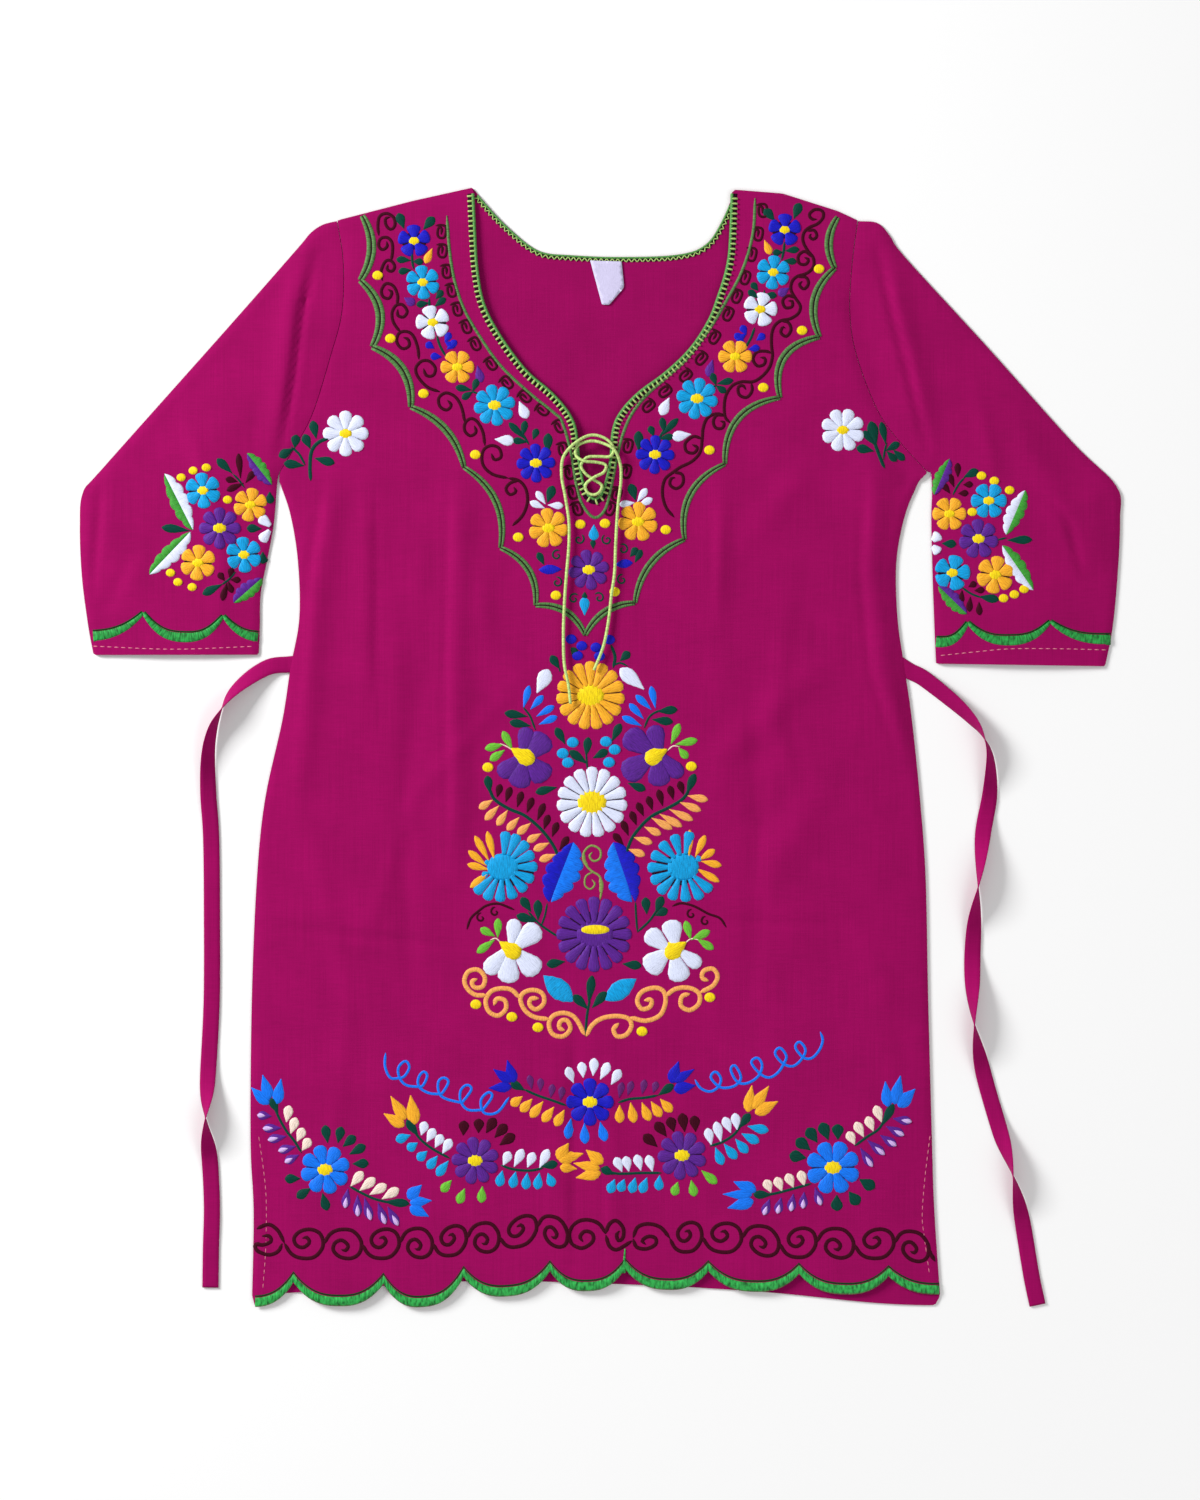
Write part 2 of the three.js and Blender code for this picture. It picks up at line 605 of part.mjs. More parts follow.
// Everything under the upper layer's surface, raised by an amount.
function groundUnder(raise) {
  const positions = [];
  const corner = (i, j) => positions.push(gridX(i), gridY(j), fieldHeights[j][i] + raise);
  const foot = (i, j) => positions.push(gridX(i), gridY(j), -2);
  const wallPanel = (i0, j0, i1, j1) => {
    foot(i0, j0);
    foot(i1, j1);
    corner(i1, j1);
    foot(i0, j0);
    corner(i1, j1);
    corner(i0, j0);
  };
  for (let j = 0; j < rows; j += 1) {
    for (let i = 0; i < columns; i += 1) {
      corner(i, j);
      corner(i + 1, j);
      corner(i + 1, j + 1);
      corner(i, j);
      corner(i + 1, j + 1);
      corner(i, j + 1);
      foot(i, j);
      foot(i + 1, j + 1);
      foot(i + 1, j);
      foot(i, j);
      foot(i, j + 1);
      foot(i + 1, j + 1);
    }
  }
  for (let i = 0; i < columns; i += 1) {
    wallPanel(i, 0, i + 1, 0);
    wallPanel(i + 1, rows, i, rows);
  }
  for (let j = 0; j < rows; j += 1) {
    wallPanel(columns, j, columns, j + 1);
    wallPanel(0, j + 1, 0, j);
  }
  const geometry = new THREE.BufferGeometry();
  geometry.setAttribute("position", new THREE.Float32BufferAttribute(positions, 3));
  return solidOf(geometry);
}

const underUpper = groundUnder(0);
const upToUpperTop = groundUnder(WALL);
const restOnUpper = groundUnder(WALL + SEAM_GAP);
const layerOnUpper = (thick) => groundUnder(WALL + SEAM_GAP + thick).subtract(restOnUpper);
const upperLayer = upToUpperTop.subtract(underUpper);

const group = new THREE.Group();

function addMesh(name, geometry, color, roughness = 0.85) {
  const mesh = new THREE.Mesh(geometry, new THREE.MeshStandardMaterial({ color, roughness, metalness: 0 }));
  mesh.name = name;
  group.add(mesh);
}

function addSolid(name, solid, color, roughness) {
  const { numProp, vertProperties, triVerts } = solid.getMesh();
  const geometry = new THREE.BufferGeometry();
  const positions = new Float32Array((vertProperties.length / numProp) * 3);
  for (let i = 0; i < positions.length; i += 1) {
    positions[i] = vertProperties[Math.floor(i / 3) * numProp + (i % 3)];
  }
  geometry.setAttribute("position", new THREE.BufferAttribute(positions, 3));
  geometry.setIndex(new THREE.BufferAttribute(new Uint32Array(triVerts), 1));
  addMesh(name, geometry, color, roughness);
}

// ---------------------------------------------------------------- front and back

const bodyPrism = prism(bodyOutline);
const openingPrism = prism(frontOpening);
const aboveHem = (deeper, raise) => {
  const line = scallopLine(HEM_SCALLOPS, deeper, raise);
  return prism([...line, new THREE.Vector2(312, 500), new THREE.Vector2(-312, 500)]);
};
const frontPrism = bodyPrism.intersect(aboveHem(0, 0)).subtract(openingPrism);
addSolid("front", upperLayer.intersect(frontPrism), MAGENTA);

const backNeckTop = [new THREE.Vector2(112, 480), new THREE.Vector2(-110, 480)];
const backCut = prism([...backNeck, ...backNeckTop]);
const aboveBackHem = prism([
  ...smoothLine(BACK_HEM.map(point), 2),
  new THREE.Vector2(300, 500),
  new THREE.Vector2(-300, 500),
]);
const backPrism = prism(bodyOutline, 0, WALL).intersect(aboveBackHem).subtract(backCut);
addSolid("back", backPrism, MAGENTA);

// ---------------------------------------------------------------- sleeves

// A tube pressed flat: closed along both folded edges, open at the cuff and at the armhole.
function addSleeve(side) {
  const { outer, inner, armhole: seam, outward } = sleeves[side];
  const outline = [...outer, ...inner.toReversed(), ...seam.toReversed().slice(0, -1)];
  const outerInset = offsetLine(outer, -outward * WALL * 1.2).slice(1);
  const innerInset = offsetLine(inner, outward * WALL * 1.2);
  const past = (p, dx, dy) => new THREE.Vector2(p.x + dx, p.y + dy);
  const hollow = [
    past(outerInset[0], -outward * 40, -1),
    ...outerInset,
    past(outerInset.at(-1), 0, -30),
    past(innerInset.at(-1), 0, -30),
    ...innerInset.toReversed(),
    past(innerInset[0], -outward * 40, 12),
  ];
  const whole = upToUpperTop.intersect(prism(outline, 0));
  const inside = underUpper.intersect(prism(hollow, WALL));
  addSolid(`sleeve_${side}`, whole.subtract(inside), MAGENTA);
  return prism(outline);
}
const sleevePrism = { left: addSleeve("left"), right: addSleeve("right") };

// ---------------------------------------------------------------- trims and borders

const trimLayer = layerOnUpper(TRIM_THICK);
const trimOuter = prism(offsetLine(frontOpening, -TRIM_WIDTH));
const frontTrim = trimLayer.intersect(trimOuter.subtract(openingPrism)).intersect(frontPrism);
addSolid("neck_trim_front", frontTrim, GREEN);

const onBack = WALL + SEAM_GAP;
const backTrimOutline = ribbonOutline(offsetLine(backNeck, -TRIM_WIDTH / 2), TRIM_WIDTH);
const backTrimBand = prism(backTrimOutline, onBack, onBack + TRIM_THICK);
const insideV = prism(offsetLine(frontOpening, SEAM_GAP));
addSolid("neck_trim_back", backTrimBand.intersect(insideV).subtract(backCut), GREEN);

const labelOutline = LABEL.corners.map(([x, y]) => new THREE.Vector2(x, y));
addSolid("care_label", prism(labelOutline, onBack, onBack + LABEL.thick), "#eceaf6", 0.5);

const edgingLayer = layerOnUpper(EDGING_THICK);
const hemBand = frontPrism.subtract(aboveHem(HEM_EDGING.atCusp - HEM_EDGING.atBottom, HEM_EDGING.atCusp));
addSolid("hem_edging", edgingLayer.intersect(hemBand), GREEN, 0.6);
for (const [side, cusps] of [["left", CUFF_LEFT], ["right", CUFF_RIGHT]]) {
  const band = prism(ribbonOutline(scallopLine(cusps), CUFF_LINE));
  addSolid(`cuff_edging_${side}`, edgingLayer.intersect(band).intersect(sleevePrism[side]), GREEN, 0.6);
}
const yokeBand = prism(ribbonOutline(yokeLine(), YOKE_LINE));
addSolid("yoke_edging", edgingLayer.intersect(yokeBand).intersect(bodyPrism), "#5d7d42", 0.6);

// ---------------------------------------------------------------- embroidered flowers and leaves

const petalLayer = layerOnUpper(STITCH_THICK);

function addFlower(name, flower) {
  addSolid(name, petalLayer.intersect(prism(flowerOutline(flower))), COLOURS[flower.colour], 0.55);
}
YOKE_FLOWERS.forEach((pair, index) => {
  addFlower(`yoke_flower_left_${index + 1}`, { ...pair, at: pair.left });
  addFlower(`yoke_flower_right_${index + 1}`, { ...pair, at: pair.right });
});
for (const flower of FLOWERS) {
  addFlower(flower.name, flower);
}
for (const fan of FANS) {
  addFlower(fan.name, { ...FAN, ...fan });
}
for (const leaf of LEAVES) {
  addSolid(leaf.name, petalLayer.intersect(prism(leafOutline(leaf))), COLOURS.blue, 0.55);
}

// ---------------------------------------------------------------- waist ties

// A flat strip lying on the surface. Where it rolls over, it stands on its edge for a moment.
function tieGeometry(stations) {
  const path = smoothLine(stations.map(point), 8);
  const rolls = smoothLine(stations.map((row, index) => new THREE.Vector2(index, row.roll)), 8);
  const lastPoint = path.length - 1;
  const pickFor = (ring) => Math.round((ring * lastPoint) / TIE_STEPS);
  const picks = Array.from({ length: TIE_STEPS + 1 }, (_, ring) => pickFor(ring));
  const positions = [];
  const indices = [];
  picks.forEach((pick, ring) => {
    const here = path[pick];
    const ahead = path[Math.min(pick + 1, lastPoint)];
    const along = ahead.clone().sub(path[Math.max(pick - 1, 0)]).normalize();
    const roll = THREE.MathUtils.degToRad(rolls[pick].y);
    const [halfWidth, halfThick] = [TIE_WIDTH / 2, TIE_THICK / 2];
    const rise = halfWidth * Math.abs(Math.sin(roll)) + halfThick * Math.abs(Math.cos(roll));
    for (const [u, v] of [[-1, -1], [1, -1], [1, 1], [-1, 1]]) {
      const across = u * halfWidth * Math.cos(roll) - v * halfThick * Math.sin(roll);
      const up = u * halfWidth * Math.sin(roll) + v * halfThick * Math.cos(roll);
      positions.push(here.x - along.y * across, here.y + along.x * across, Math.max(rise + up, 0));
    }
    if (ring > 0) {
      for (let side = 0; side < 4; side += 1) {
        const [a, b] = [4 * (ring - 1) + side, 4 * (ring - 1) + ((side + 1) % 4)];
        indices.push(a, b, a + 4, b, b + 4, a + 4);
      }
    }
  });
  const last = 4 * (picks.length - 1);
  indices.push(0, 2, 1, 0, 3, 2, last, last + 1, last + 2, last, last + 2, last + 3);
  const geometry = new THREE.BufferGeometry();
  geometry.setAttribute("position", new THREE.Float32BufferAttribute(positions, 3));
  geometry.setIndex(indices);
  return geometry;
}
addMesh("tie_left", tieGeometry(TIE_LEFT), MAGENTA);
addMesh("tie_right", tieGeometry(TIE_RIGHT), MAGENTA);

// ---------------------------------------------------------------- neck lace

function laceGeometry() {
  const radius = LACE_DIAMETER / 2;
  const heightAt = ({ x, y, rest }) => underside(x, y) + WALL + rest + radius;
  const places = LACE_ROUTE.map((row) => new THREE.Vector3(row.x, row.y, heightAt(row)));
  const section = new THREE.Shape();
  for (let side = 0; side < LACE_SIDES; side += 1) {
    const angle = ((side + 0.5) / LACE_SIDES) * Math.PI * 2;
    const corner = [radius * Math.cos(angle), radius * Math.sin(angle)];
    if (side === 0) {
      section.moveTo(...corner);
    } else {
      section.lineTo(...corner);
    }
  }
  const extrudePath = new THREE.CatmullRomCurve3(places);
  return new THREE.ExtrudeGeometry(section, { steps: LACE_STEPS, bevelEnabled: false, extrudePath });
}
addMesh("lace", laceGeometry(), LIME, 0.7);

export default group;
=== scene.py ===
import math

import bpy
import numpy as np
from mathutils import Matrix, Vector
from mathutils.geometry import delaunay_2d_cdt


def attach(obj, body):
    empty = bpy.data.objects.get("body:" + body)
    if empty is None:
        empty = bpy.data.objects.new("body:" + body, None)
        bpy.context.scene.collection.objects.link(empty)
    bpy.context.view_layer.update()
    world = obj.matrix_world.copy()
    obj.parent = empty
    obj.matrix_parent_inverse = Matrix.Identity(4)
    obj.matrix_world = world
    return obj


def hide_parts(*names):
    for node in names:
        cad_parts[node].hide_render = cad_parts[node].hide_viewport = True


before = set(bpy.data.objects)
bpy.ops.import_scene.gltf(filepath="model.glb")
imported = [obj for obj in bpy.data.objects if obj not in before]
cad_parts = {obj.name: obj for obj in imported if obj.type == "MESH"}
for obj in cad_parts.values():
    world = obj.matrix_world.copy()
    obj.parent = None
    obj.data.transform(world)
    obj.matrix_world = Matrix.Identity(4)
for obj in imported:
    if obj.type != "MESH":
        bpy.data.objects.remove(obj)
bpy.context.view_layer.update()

# A Mexican dress laid flat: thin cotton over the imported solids, satin stitch embroidery,
# crochet trims, ties and a neck lace. Shapes are worked out in millimetres, in the frame's axes,
# and turned into metres when a mesh is made. "left" and "right" are as seen from above.

MM = 0.001

# Embroidery is placed on a drawing of the dress in which one unit is 0.8 mm.
# The drawing's x runs right and its y runs down, and (600, 750) is the frame's origin.
UNIT = 0.8
DRAWING_CENTRE = (600.0, 750.0)


def at(x, y):
    """A place on the drawing, in the frame's millimetres."""
    return np.array([(x - DRAWING_CENTRE[0]) * UNIT, (DRAWING_CENTRE[1] - y) * UNIT])


def line_at(*places):
    return np.array([at(x, y) for x, y in places])


# ------------------------------------------------------------------ camera

VIEW_HEIGHT_MM = 1200.0  # what the picture shows at the cloth, from top to bottom
CAMERA_RISE = 2.9  # metres over the floor
SENSOR = 24.0  # upright, in millimetres


def add_camera():
    data = bpy.data.cameras.new("camera")
    camera = bpy.data.objects.new("camera", data)
    bpy.context.scene.collection.objects.link(camera)
    camera.location = (0.0, 0.0, CAMERA_RISE)
    data.sensor_fit = "VERTICAL"
    data.sensor_height = SENSOR
    data.lens = SENSOR * CAMERA_RISE / (VIEW_HEIGHT_MM * MM)
    bpy.context.scene.camera = camera


add_camera()

# ------------------------------------------------------------------ lines

X, Y = 0, 1  # the columns of a point
TINY = 1e-9  # shorter than any length that counts


def smooth(points, steps=6):
    """A curve through the points, with this many steps between two of them."""
    p = np.asarray(points, float)
    p = np.vstack([2 * p[0] - p[1], p, 2 * p[-1] - p[-2]])
    t = np.linspace(0, 1, steps, endpoint=False)[:, None]
    spans = []
    for a, b, c, d in zip(p[:-3], p[1:-2], p[2:-1], p[3:]):
        cubic = (-a + 3 * b - 3 * c + d) * t**3 + (2 * a - 5 * b + 4 * c - d) * t**2
        spans.append(0.5 * (cubic + (c - a) * t + 2 * b))
    return np.vstack(spans + [p[-2:-1]])


def step_lengths(line):
    return np.linalg.norm(np.diff(line, axis=0), axis=1)


def run_along(line):
    """How far each point lies from the line's start, along the line."""
    return np.concatenate([[0], np.cumsum(step_lengths(line))])


def even(line, spacing):
    """The same line with points an even distance apart."""
    line = np.asarray(line, float)
    keep = np.concatenate([[True], step_lengths(line) > TINY])
    line = line[keep]
    run = run_along(line)
    count = max(int(round(run[-1] / spacing)), 1) + 1
    stops = np.linspace(0, run[-1], count)
    return np.stack([np.interp(stops, run, line[:, k]) for k in range(line.shape[1])], axis=1)


def directions(line):
    along = np.gradient(line, axis=0)
    return along / np.maximum(np.linalg.norm(along, axis=1, keepdims=True), TINY)


def leftward(along):
    """Each direction turned a quarter to the left."""
    return np.stack([-along[:, 1], along[:, 0]], axis=1)


def offset(line, distance):
    """The line moved sideways, to the left of its direction when distance is positive."""
    return line + leftward(directions(line)) * np.reshape(distance, (-1, 1))


def clipped(line, axis, low=-math.inf, high=math.inf):
    """The points of a line that lie between two limits along X or Y."""
    line = np.asarray(line, float)
    return line[(line[:, axis] > low) & (line[:, axis] < high)]


def distance_to_path(x, y, path):
    """How far each point is from a path, and how far the nearest place is from the path's ends."""
    best = np.full(np.shape(x), np.inf)
    along = np.zeros(np.shape(x))
    run = 0.0
    for (ax, ay), (bx, by) in zip(path[:-1], path[1:]):
        dx, dy = bx - ax, by - ay
        length = math.hypot(dx, dy)
        t = np.clip(((x - ax) * dx + (y - ay) * dy) / length**2, 0, 1)
        d = np.hypot(x - ax - t * dx, y - ay - t * dy)
        nearer = d < best
        best = np.where(nearer, d, best)
        along = np.where(nearer, run + t * length, along)
        run += length
    return best, np.minimum(along, run - along)


# ------------------------------------------------------------------ the cut, as in the solids

ARMHOLE = [  # y, left x, right x
    (423.5, -210, 206), (390, -205, 201.5), (350, -206, 199.5), (315, -215, 205),
    (270, -229, 222.5), (243, -243, 242.5), (222, -256, 262),
]
SIDES = [  # y, left x, right x
    (215, -256.5, 255), (188, -247.5, 244), (150, -241.5, 237), (105, -240.5, 238),
    (66, -247.5, 243.5), (24, -254, 249.5), (-40, -268, 256), (-104, -274.5, 260.5),
    (-200, -278.5, 262.5), (-312, -279.5, 265.5), (-370, -277, 267.5), (-450, -278.5, 273),
]
LEFT_SHOULDER = [(-102.4, 449.6), (-150, 439)]
RIGHT_SHOULDER = [(108, 448), (146, 445), (190, 431)]
V_NECK = [  # y, left x, right x
    (462, -101.5, 105), (413, -99.2, 103.6), (387, -97.6, 101), (362, -93.6, 93.5),
    (343, -85.9, 86), (321, -72, 71.5), (302, -56.8, 51.8), (286.5, -38.7, 31),
    (271, -25.2, 16.5), (256, -18.6, 9.8), (232, -16, 7.6), (215, -12.8, 4.2), (204, -8.6, 0.2),
]
SLIT_END = (-4.2, 201)
BACK_NECK = [
    (-110, 459), (-85.9, 430.8), (-72, 416.8), (-56.8, 404), (-44, 397.8), (-25.9, 396),
    (12, 394.4), (60, 396), (84, 404), (98.6, 425.6), (112, 459),
]
SLEEVE_OUTER = {
    "left": [(-210.6, 423), (-222, 420), (-232, 413), (-242, 401), (-300, 335), (-398, 225),
             (-413.5, 206), (-416, 180), (-414.5, 140), (-409.6, 101), (-405, 76)],
    "right": [(206.6, 423), (222, 421.5), (232, 411), (244, 394), (310, 322), (378, 246),
              (413, 211), (416, 185), (414, 140), (410, 98), (404, 67)],
}
SLEEVE_INNER = {
    "left": [(-257.6, 219), (-258.6, 208), (-261, 180), (-266.4, 151), (-271.4, 125),
             (-272, 100), (-272.9, 76.2)],
    "right": [(265, 222), (265.6, 205), (265, 185), (266, 140), (267.5, 98), (268.8, 69)],
}
HEM_SCALLOPS = [  # cusp x, cusp y, depth of the scallop to its right
    (-312, -418, 27), (-245, -418, 25.5), (-173, -419, 28.5), (-109, -413.5, 25),
    (-40, -409, 24), (20, -407, 23), (86.5, -409, 22.5), (159, -411, 22.5),
    (230.5, -413, 22), (312, -413, 0),
]
BACK_HEM = [
    (-300, -436), (-245, -434), (-109, -425), (24, -427.5), (131, -433.5), (217, -442),
    (268, -444), (300, -441),
]
CUFF_SCALLOPS = {
    "left": [(-452, 106, 17), (-365, 109.6, 18.5), (-301, 107.2, 17), (-236, 107, 0)],
    "right": [(250, 102, 16), (294, 102, 15), (359.8, 102.7, 14.5), (450, 103, 0)],
}
# Raised folds of the upper layer, which the solids have too: height, half-width and path.
FOLDS = [
    (2.6, 11, [(-212, 218), (-229, 110), (-241, -50)]),
    (1.6, 11, [(-186, 213), (-186, 30)]),
    (1.5, 10, [(-166, 121), (-160, 18)]),
    (2.8, 12, [(-112, 218), (-116, 60), (-116, -96)]),
    (1.6, 9, [(-93, 155), (-93, 70)]),
    (2.4, 9, [(96, 213), (94, 98)]),
    (2.0, 12, [(174, 235), (117, 167)]),
    (2.8, 11, [(219, 224), (216, 144), (225, 64), (246, -5)]),
    (1.6, 14, [(185, -22), (117, -125)]),
    (1.8, 12, [(179, 70), (99, -5), (94, -50)]),
    (1.4, 20, [(-278, -130), (-106, -150)]),
    (1.2, 20, [(80, -128), (200, -132)]),
    (1.2, 12, [(-36, -222), (-30, -420)]),
    (1.4, 12, [(6, -222), (8, -420)]),
    (3.0, 11, [(-236, 400), (-247, 350), (-252, 297), (-261, 232)]),
    (1.8, 13, [(-392, 214), (-396, 138)]),
    (1.6, 13, [(-368, 170), (-384, 111)]),
    (3.0, 11, [(230, 405), (236, 363), (250, 297), (263, 244)]),
    (2.0, 13, [(325, 281), (362, 204), (383, 151)]),
    (1.6, 13, [(392, 214), (398, 140)]),
]
FOLD_FADE = 45.0  # how far from its ends a fold has its full height
FOLD_END = 0.3  # share of the height at the ends

# Finer creases, which only the seen cloth has, in the same columns. Troughs are negative.
CREASES = [
    (-1.53, 3.0, [(-221, 214), (-236, 120), (-241, 30)]),
    (-1.36, 3.0, [(-121, 214), (-124, 60), (-122, -80)]),
    (-1.19, 2.6, [(90, 205), (88, 105)]),
    (-1.53, 3.0, [(211, 222), (208, 140), (216, 62), (236, 0)]),
    (-1.19, 3.0, [(-179, 205), (-179, 45)]),
    (-1.02, 2.6, [(-261, -158), (-243, -193)]),
    (-1.19, 3.5, [(-21, -222), (-21, -415)]),
    (-1.02, 3.5, [(2, -222), (2, -415)]),
    (-1.02, 4.0, [(-274, -139), (-110, -158)]),
    (-1.02, 4.0, [(86, -136), (196, -140)]),
    (-3.0, 3.0, [(-227, 395), (-238, 350), (-245, 297), (-253, 250), (-257, 236)]),
    (-3.0, 3.0, [(222, 400), (230, 363), (247, 297), (257, 257), (262, 240)]),
    (-1.3, 7.0, [(238, 262), (258, 232)]),
    (-1.0, 1.2, [(308, 73.6), (368, 72.8), (400, 71.4)]),
    (1.2, 6.0, [(-330, 270), (-300, 150), (-306, 100)]),
    (1.05, 6.0, [(300, 290), (320, 200)]),
    (0.9, 8.0, [(-60, 60), (-150, -40), (-190, -160)]),
    (0.75, 9.0, [(160, -60), (225, -180), (235, -300)]),
    (0.75, 8.0, [(-230, -60), (-200, -210), (-215, -330)]),
    (0.9, 7.0, [(150, 130), (140, 20), (160, -40)]),
    (0.75, 7.0, [(-140, 190), (-146, 90)]),
    (0.75, 10.0, [(-180, -220), (-160, -300)]),
    (0.75, 10.0, [(130, -190), (150, -280)]),
    (-1.5, 10.0, [(196, 400), (210, 330), (235, 240), (262, 190)]),
    (-1.3, 9.0, [(120, 60), (128, -60), (122, -190)]),
    (-1.2, 8.0, [(-150, 40), (-158, -80), (-150, -200)]),
    (-2.0, 2.6, [(-398.6, 221), (-402, 170), (-405.4, 123.4)]),
    (-1.8, 6.0, [(-373, 156), (-394, 115.5)]),
    (-2.0, 2.8, [(343.5, 208), (358.8, 198.5), (374.2, 183.2), (385.6, 141), (402.9, 136.2)]),
]

WALL = 1.0  # thickness of a layer in the solids
SEAM_GAP = 0.3  # between two layers or two panels of the solids
SEEN_WALL = 0.9  # what stands for the upper layer's wall in the seen cloth
LOFT = 1.7  # rise of the upper layer well away from its seams
LOFT_REACH = 55.0  # how far from a seam that rise is reached
HELD_EDGE = 12.0  # strip along a seam in which the folds fade out
SEAM_DIP, SEAM_DIP_WIDTH = 0.55, 2.2
CLOTH = 0.45  # thickness of the cotton that is seen
BACK_TOP = 0.75  # height of the back's upper face
SCALLOP_POWER = 2.6  # more than a parabola's 2, so fuller towards the cusps


def edge_of(sections, side, steps=6):
    column = 1 if side == "left" else 2
    return smooth([(row[column], row[0]) for row in sections], steps)


def scallops(rows, steps=24):
    """The hanging curves between cusps, given as x, y and depth to the next cusp."""
    line = []
    for (ax, ay, depth), (bx, by, _) in zip(rows[:-1], rows[1:]):
        for t in np.linspace(0, 1, steps, endpoint=False):
            sag = depth * (1 - abs(2 * t - 1) ** SCALLOP_POWER)
            line.append((ax + (bx - ax) * t, ay + (by - ay) * t - sag))
    line.append((rows[-1][0], rows[-1][1]))
    return np.array(line)


BACK_NECK_LINE = smooth(BACK_NECK, 6)
JOINED_EDGES = [
    BACK_NECK_LINE[12:-12],  # without its steep ends
    np.vstack([LEFT_SHOULDER, smooth(SLEEVE_OUTER["left"], 3)]),
    np.vstack([RIGHT_SHOULDER, smooth(SLEEVE_OUTER["right"], 3)]),
    smooth(SLEEVE_INNER["left"], 2),
    smooth(SLEEVE_INNER["right"], 2),
    edge_of(SIDES, "left", 2),
    edge_of(SIDES, "right", 2),
]


def smoothstep(x, low, high):
    t = np.clip((x - low) / (high - low), 0, 1)
    return t * t * (3 - 2 * t)


def folds_at(x, y, rows):
    total = np.zeros(np.shape(x))
    for height, width, path in rows:
        distance, from_end = distance_to_path(x, y, path)
        strength = FOLD_END + (1 - FOLD_END) * smoothstep(from_end, 0, FOLD_FADE)
        total = total + height * strength * np.exp(-((distance / width) ** 2))
    return total


def ripples(x, y):
    """The slight waviness of cotton that lies loose."""
    return (
        0.16 * np.sin(x / 17.0 + 0.9 * np.sin(y / 83.0))
        + 0.13 * np.sin(x / 29.0 - y / 61.0 + 1.3)
        + 0.12 * np.sin(y / 37.0 + 1.1 * np.sin(x / 71.0) + 0.4)
        + 0.06 * np.sin(x / 9.0 + y / 23.0)
    )


def distance_to_paths(x, y, paths):
    return np.min([distance_to_path(x, y, path)[0] for path in paths], axis=0)


def near(distance, width):
    """1 where the distance is nothing, and 0 well beyond the width."""
    return np.exp(-((distance / width) ** 2))


def lift_and_folds(inside, folds):
    """How far the upper layer rises at a distance from its seams, and what its folds add."""
    return LOFT * smoothstep(inside, 0, LOFT_REACH), smoothstep(inside, 0, HELD_EDGE) * folds


def plain_top(x, y):
    """Height of the upper layer's outer surface in the solids."""
    inside = distance_to_paths(x, y, JOINED_EDGES)
    lift, folds = lift_and_folds(inside, folds_at(x, y, FOLDS))
    return 2 * WALL + SEAM_GAP + lift + folds


def upper_top(x, y):
    """Height of the upper layer's outer surface in the seen cloth."""
    inside = distance_to_paths(x, y, JOINED_EDGES)
    folds = folds_at(x, y, FOLDS) + folds_at(x, y, CREASES) + ripples(x, y)
    lift, folds = lift_and_folds(inside, folds)
    return WALL + SEAM_GAP + SEEN_WALL + lift + folds - SEAM_DIP * near(inside, SEAM_DIP_WIDTH)


# ------------------------------------------------------------------ materials

BANDS_PER_UNIT = 3.1416  # bands that a wave texture with a scale of 1 shows in one unit
SLUBS = (1400.0, 18.0, 40.0)  # stretch of the noise that makes the threads along Y uneven
CROSS_SLUBS = (60.0, 1400.0, 40.0)


def srgb(red, green, blue):
    """A colour read off a screen, 0 to 255, as the shader wants it."""
    channels = [c / 255 for c in (red, green, blue)]
    return tuple(c / 12.92 if c <= 0.04045 else ((c + 0.055) / 1.055) ** 2.4 for c in channels) + (1.0,)


def blank_material(name, roughness, sheen=0.0, specular=0.5):
    material = bpy.data.materials.new(name)
    material.use_nodes = True
    shader = material.node_tree.nodes["Principled BSDF"]
    shader.inputs["Roughness"].default_value = roughness
    shader.inputs["Sheen Weight"].default_value = sheen
    shader.inputs["Sheen Roughness"].default_value = 0.5
    shader.inputs["Specular IOR Level"].default_value = specular
    return material, material.node_tree, shader


def node(tree, kind, inputs=None, **settings):
    made = tree.nodes.new(kind)
    for name, value in settings.items():
        setattr(made, name, value)
    for name, value in (inputs or {}).items():
        if isinstance(value, bpy.types.NodeSocket):
            tree.links.new(value, made.inputs[name])
        else:
            made.inputs[name].default_value = value
    return made


def ramp(tree, fac, stops):
    made = tree.nodes.new("ShaderNodeValToRGB")
    tree.links.new(fac, made.inputs["Fac"])
    elements = made.color_ramp.elements
    while len(elements) < len(stops):
        elements.new(0.5)
    for element, (position, colour) in zip(elements, stops):
        element.position = position
        element.color = colour
    return made.outputs["Color"]


def shade(colour, factor):
    return tuple(min(c * factor, 1.0) for c in colour[:3]) + (1.0,)


def noise(tree, vector, scale, detail):
    inputs = {"Vector": vector, "Scale": scale, "Detail": detail}
    return node(tree, "ShaderNodeTexNoise", inputs).outputs["Fac"]


def stretched_noise(tree, vector, stretch):
    """Noise that changes quickly along one axis and slowly along the others."""
    mapped = node(tree, "ShaderNodeMapping", {"Vector": vector, "Scale": stretch})
    return noise(tree, mapped.outputs[0], 1.0, 2.0)


def bands(tree, vector, scale, distortion, axis, detail):
    inputs = {"Vector": vector, "Scale": scale, "Distortion": distortion, "Detail": detail}
    wave = node(tree, "ShaderNodeTexWave", inputs, wave_type="BANDS", bands_direction=axis)
    return wave.outputs["Fac"]


def math_of(tree, first, second, operation):
    return node(tree, "ShaderNodeMath", {0: first, 1: second}, operation=operation).outputs[0]


def bump(tree, height, strength, distance, more=None):
    inputs = {"Height": height, "Strength": strength, "Distance": distance}
    return node(tree, "ShaderNodeBump", inputs | (more or {})).outputs[0]


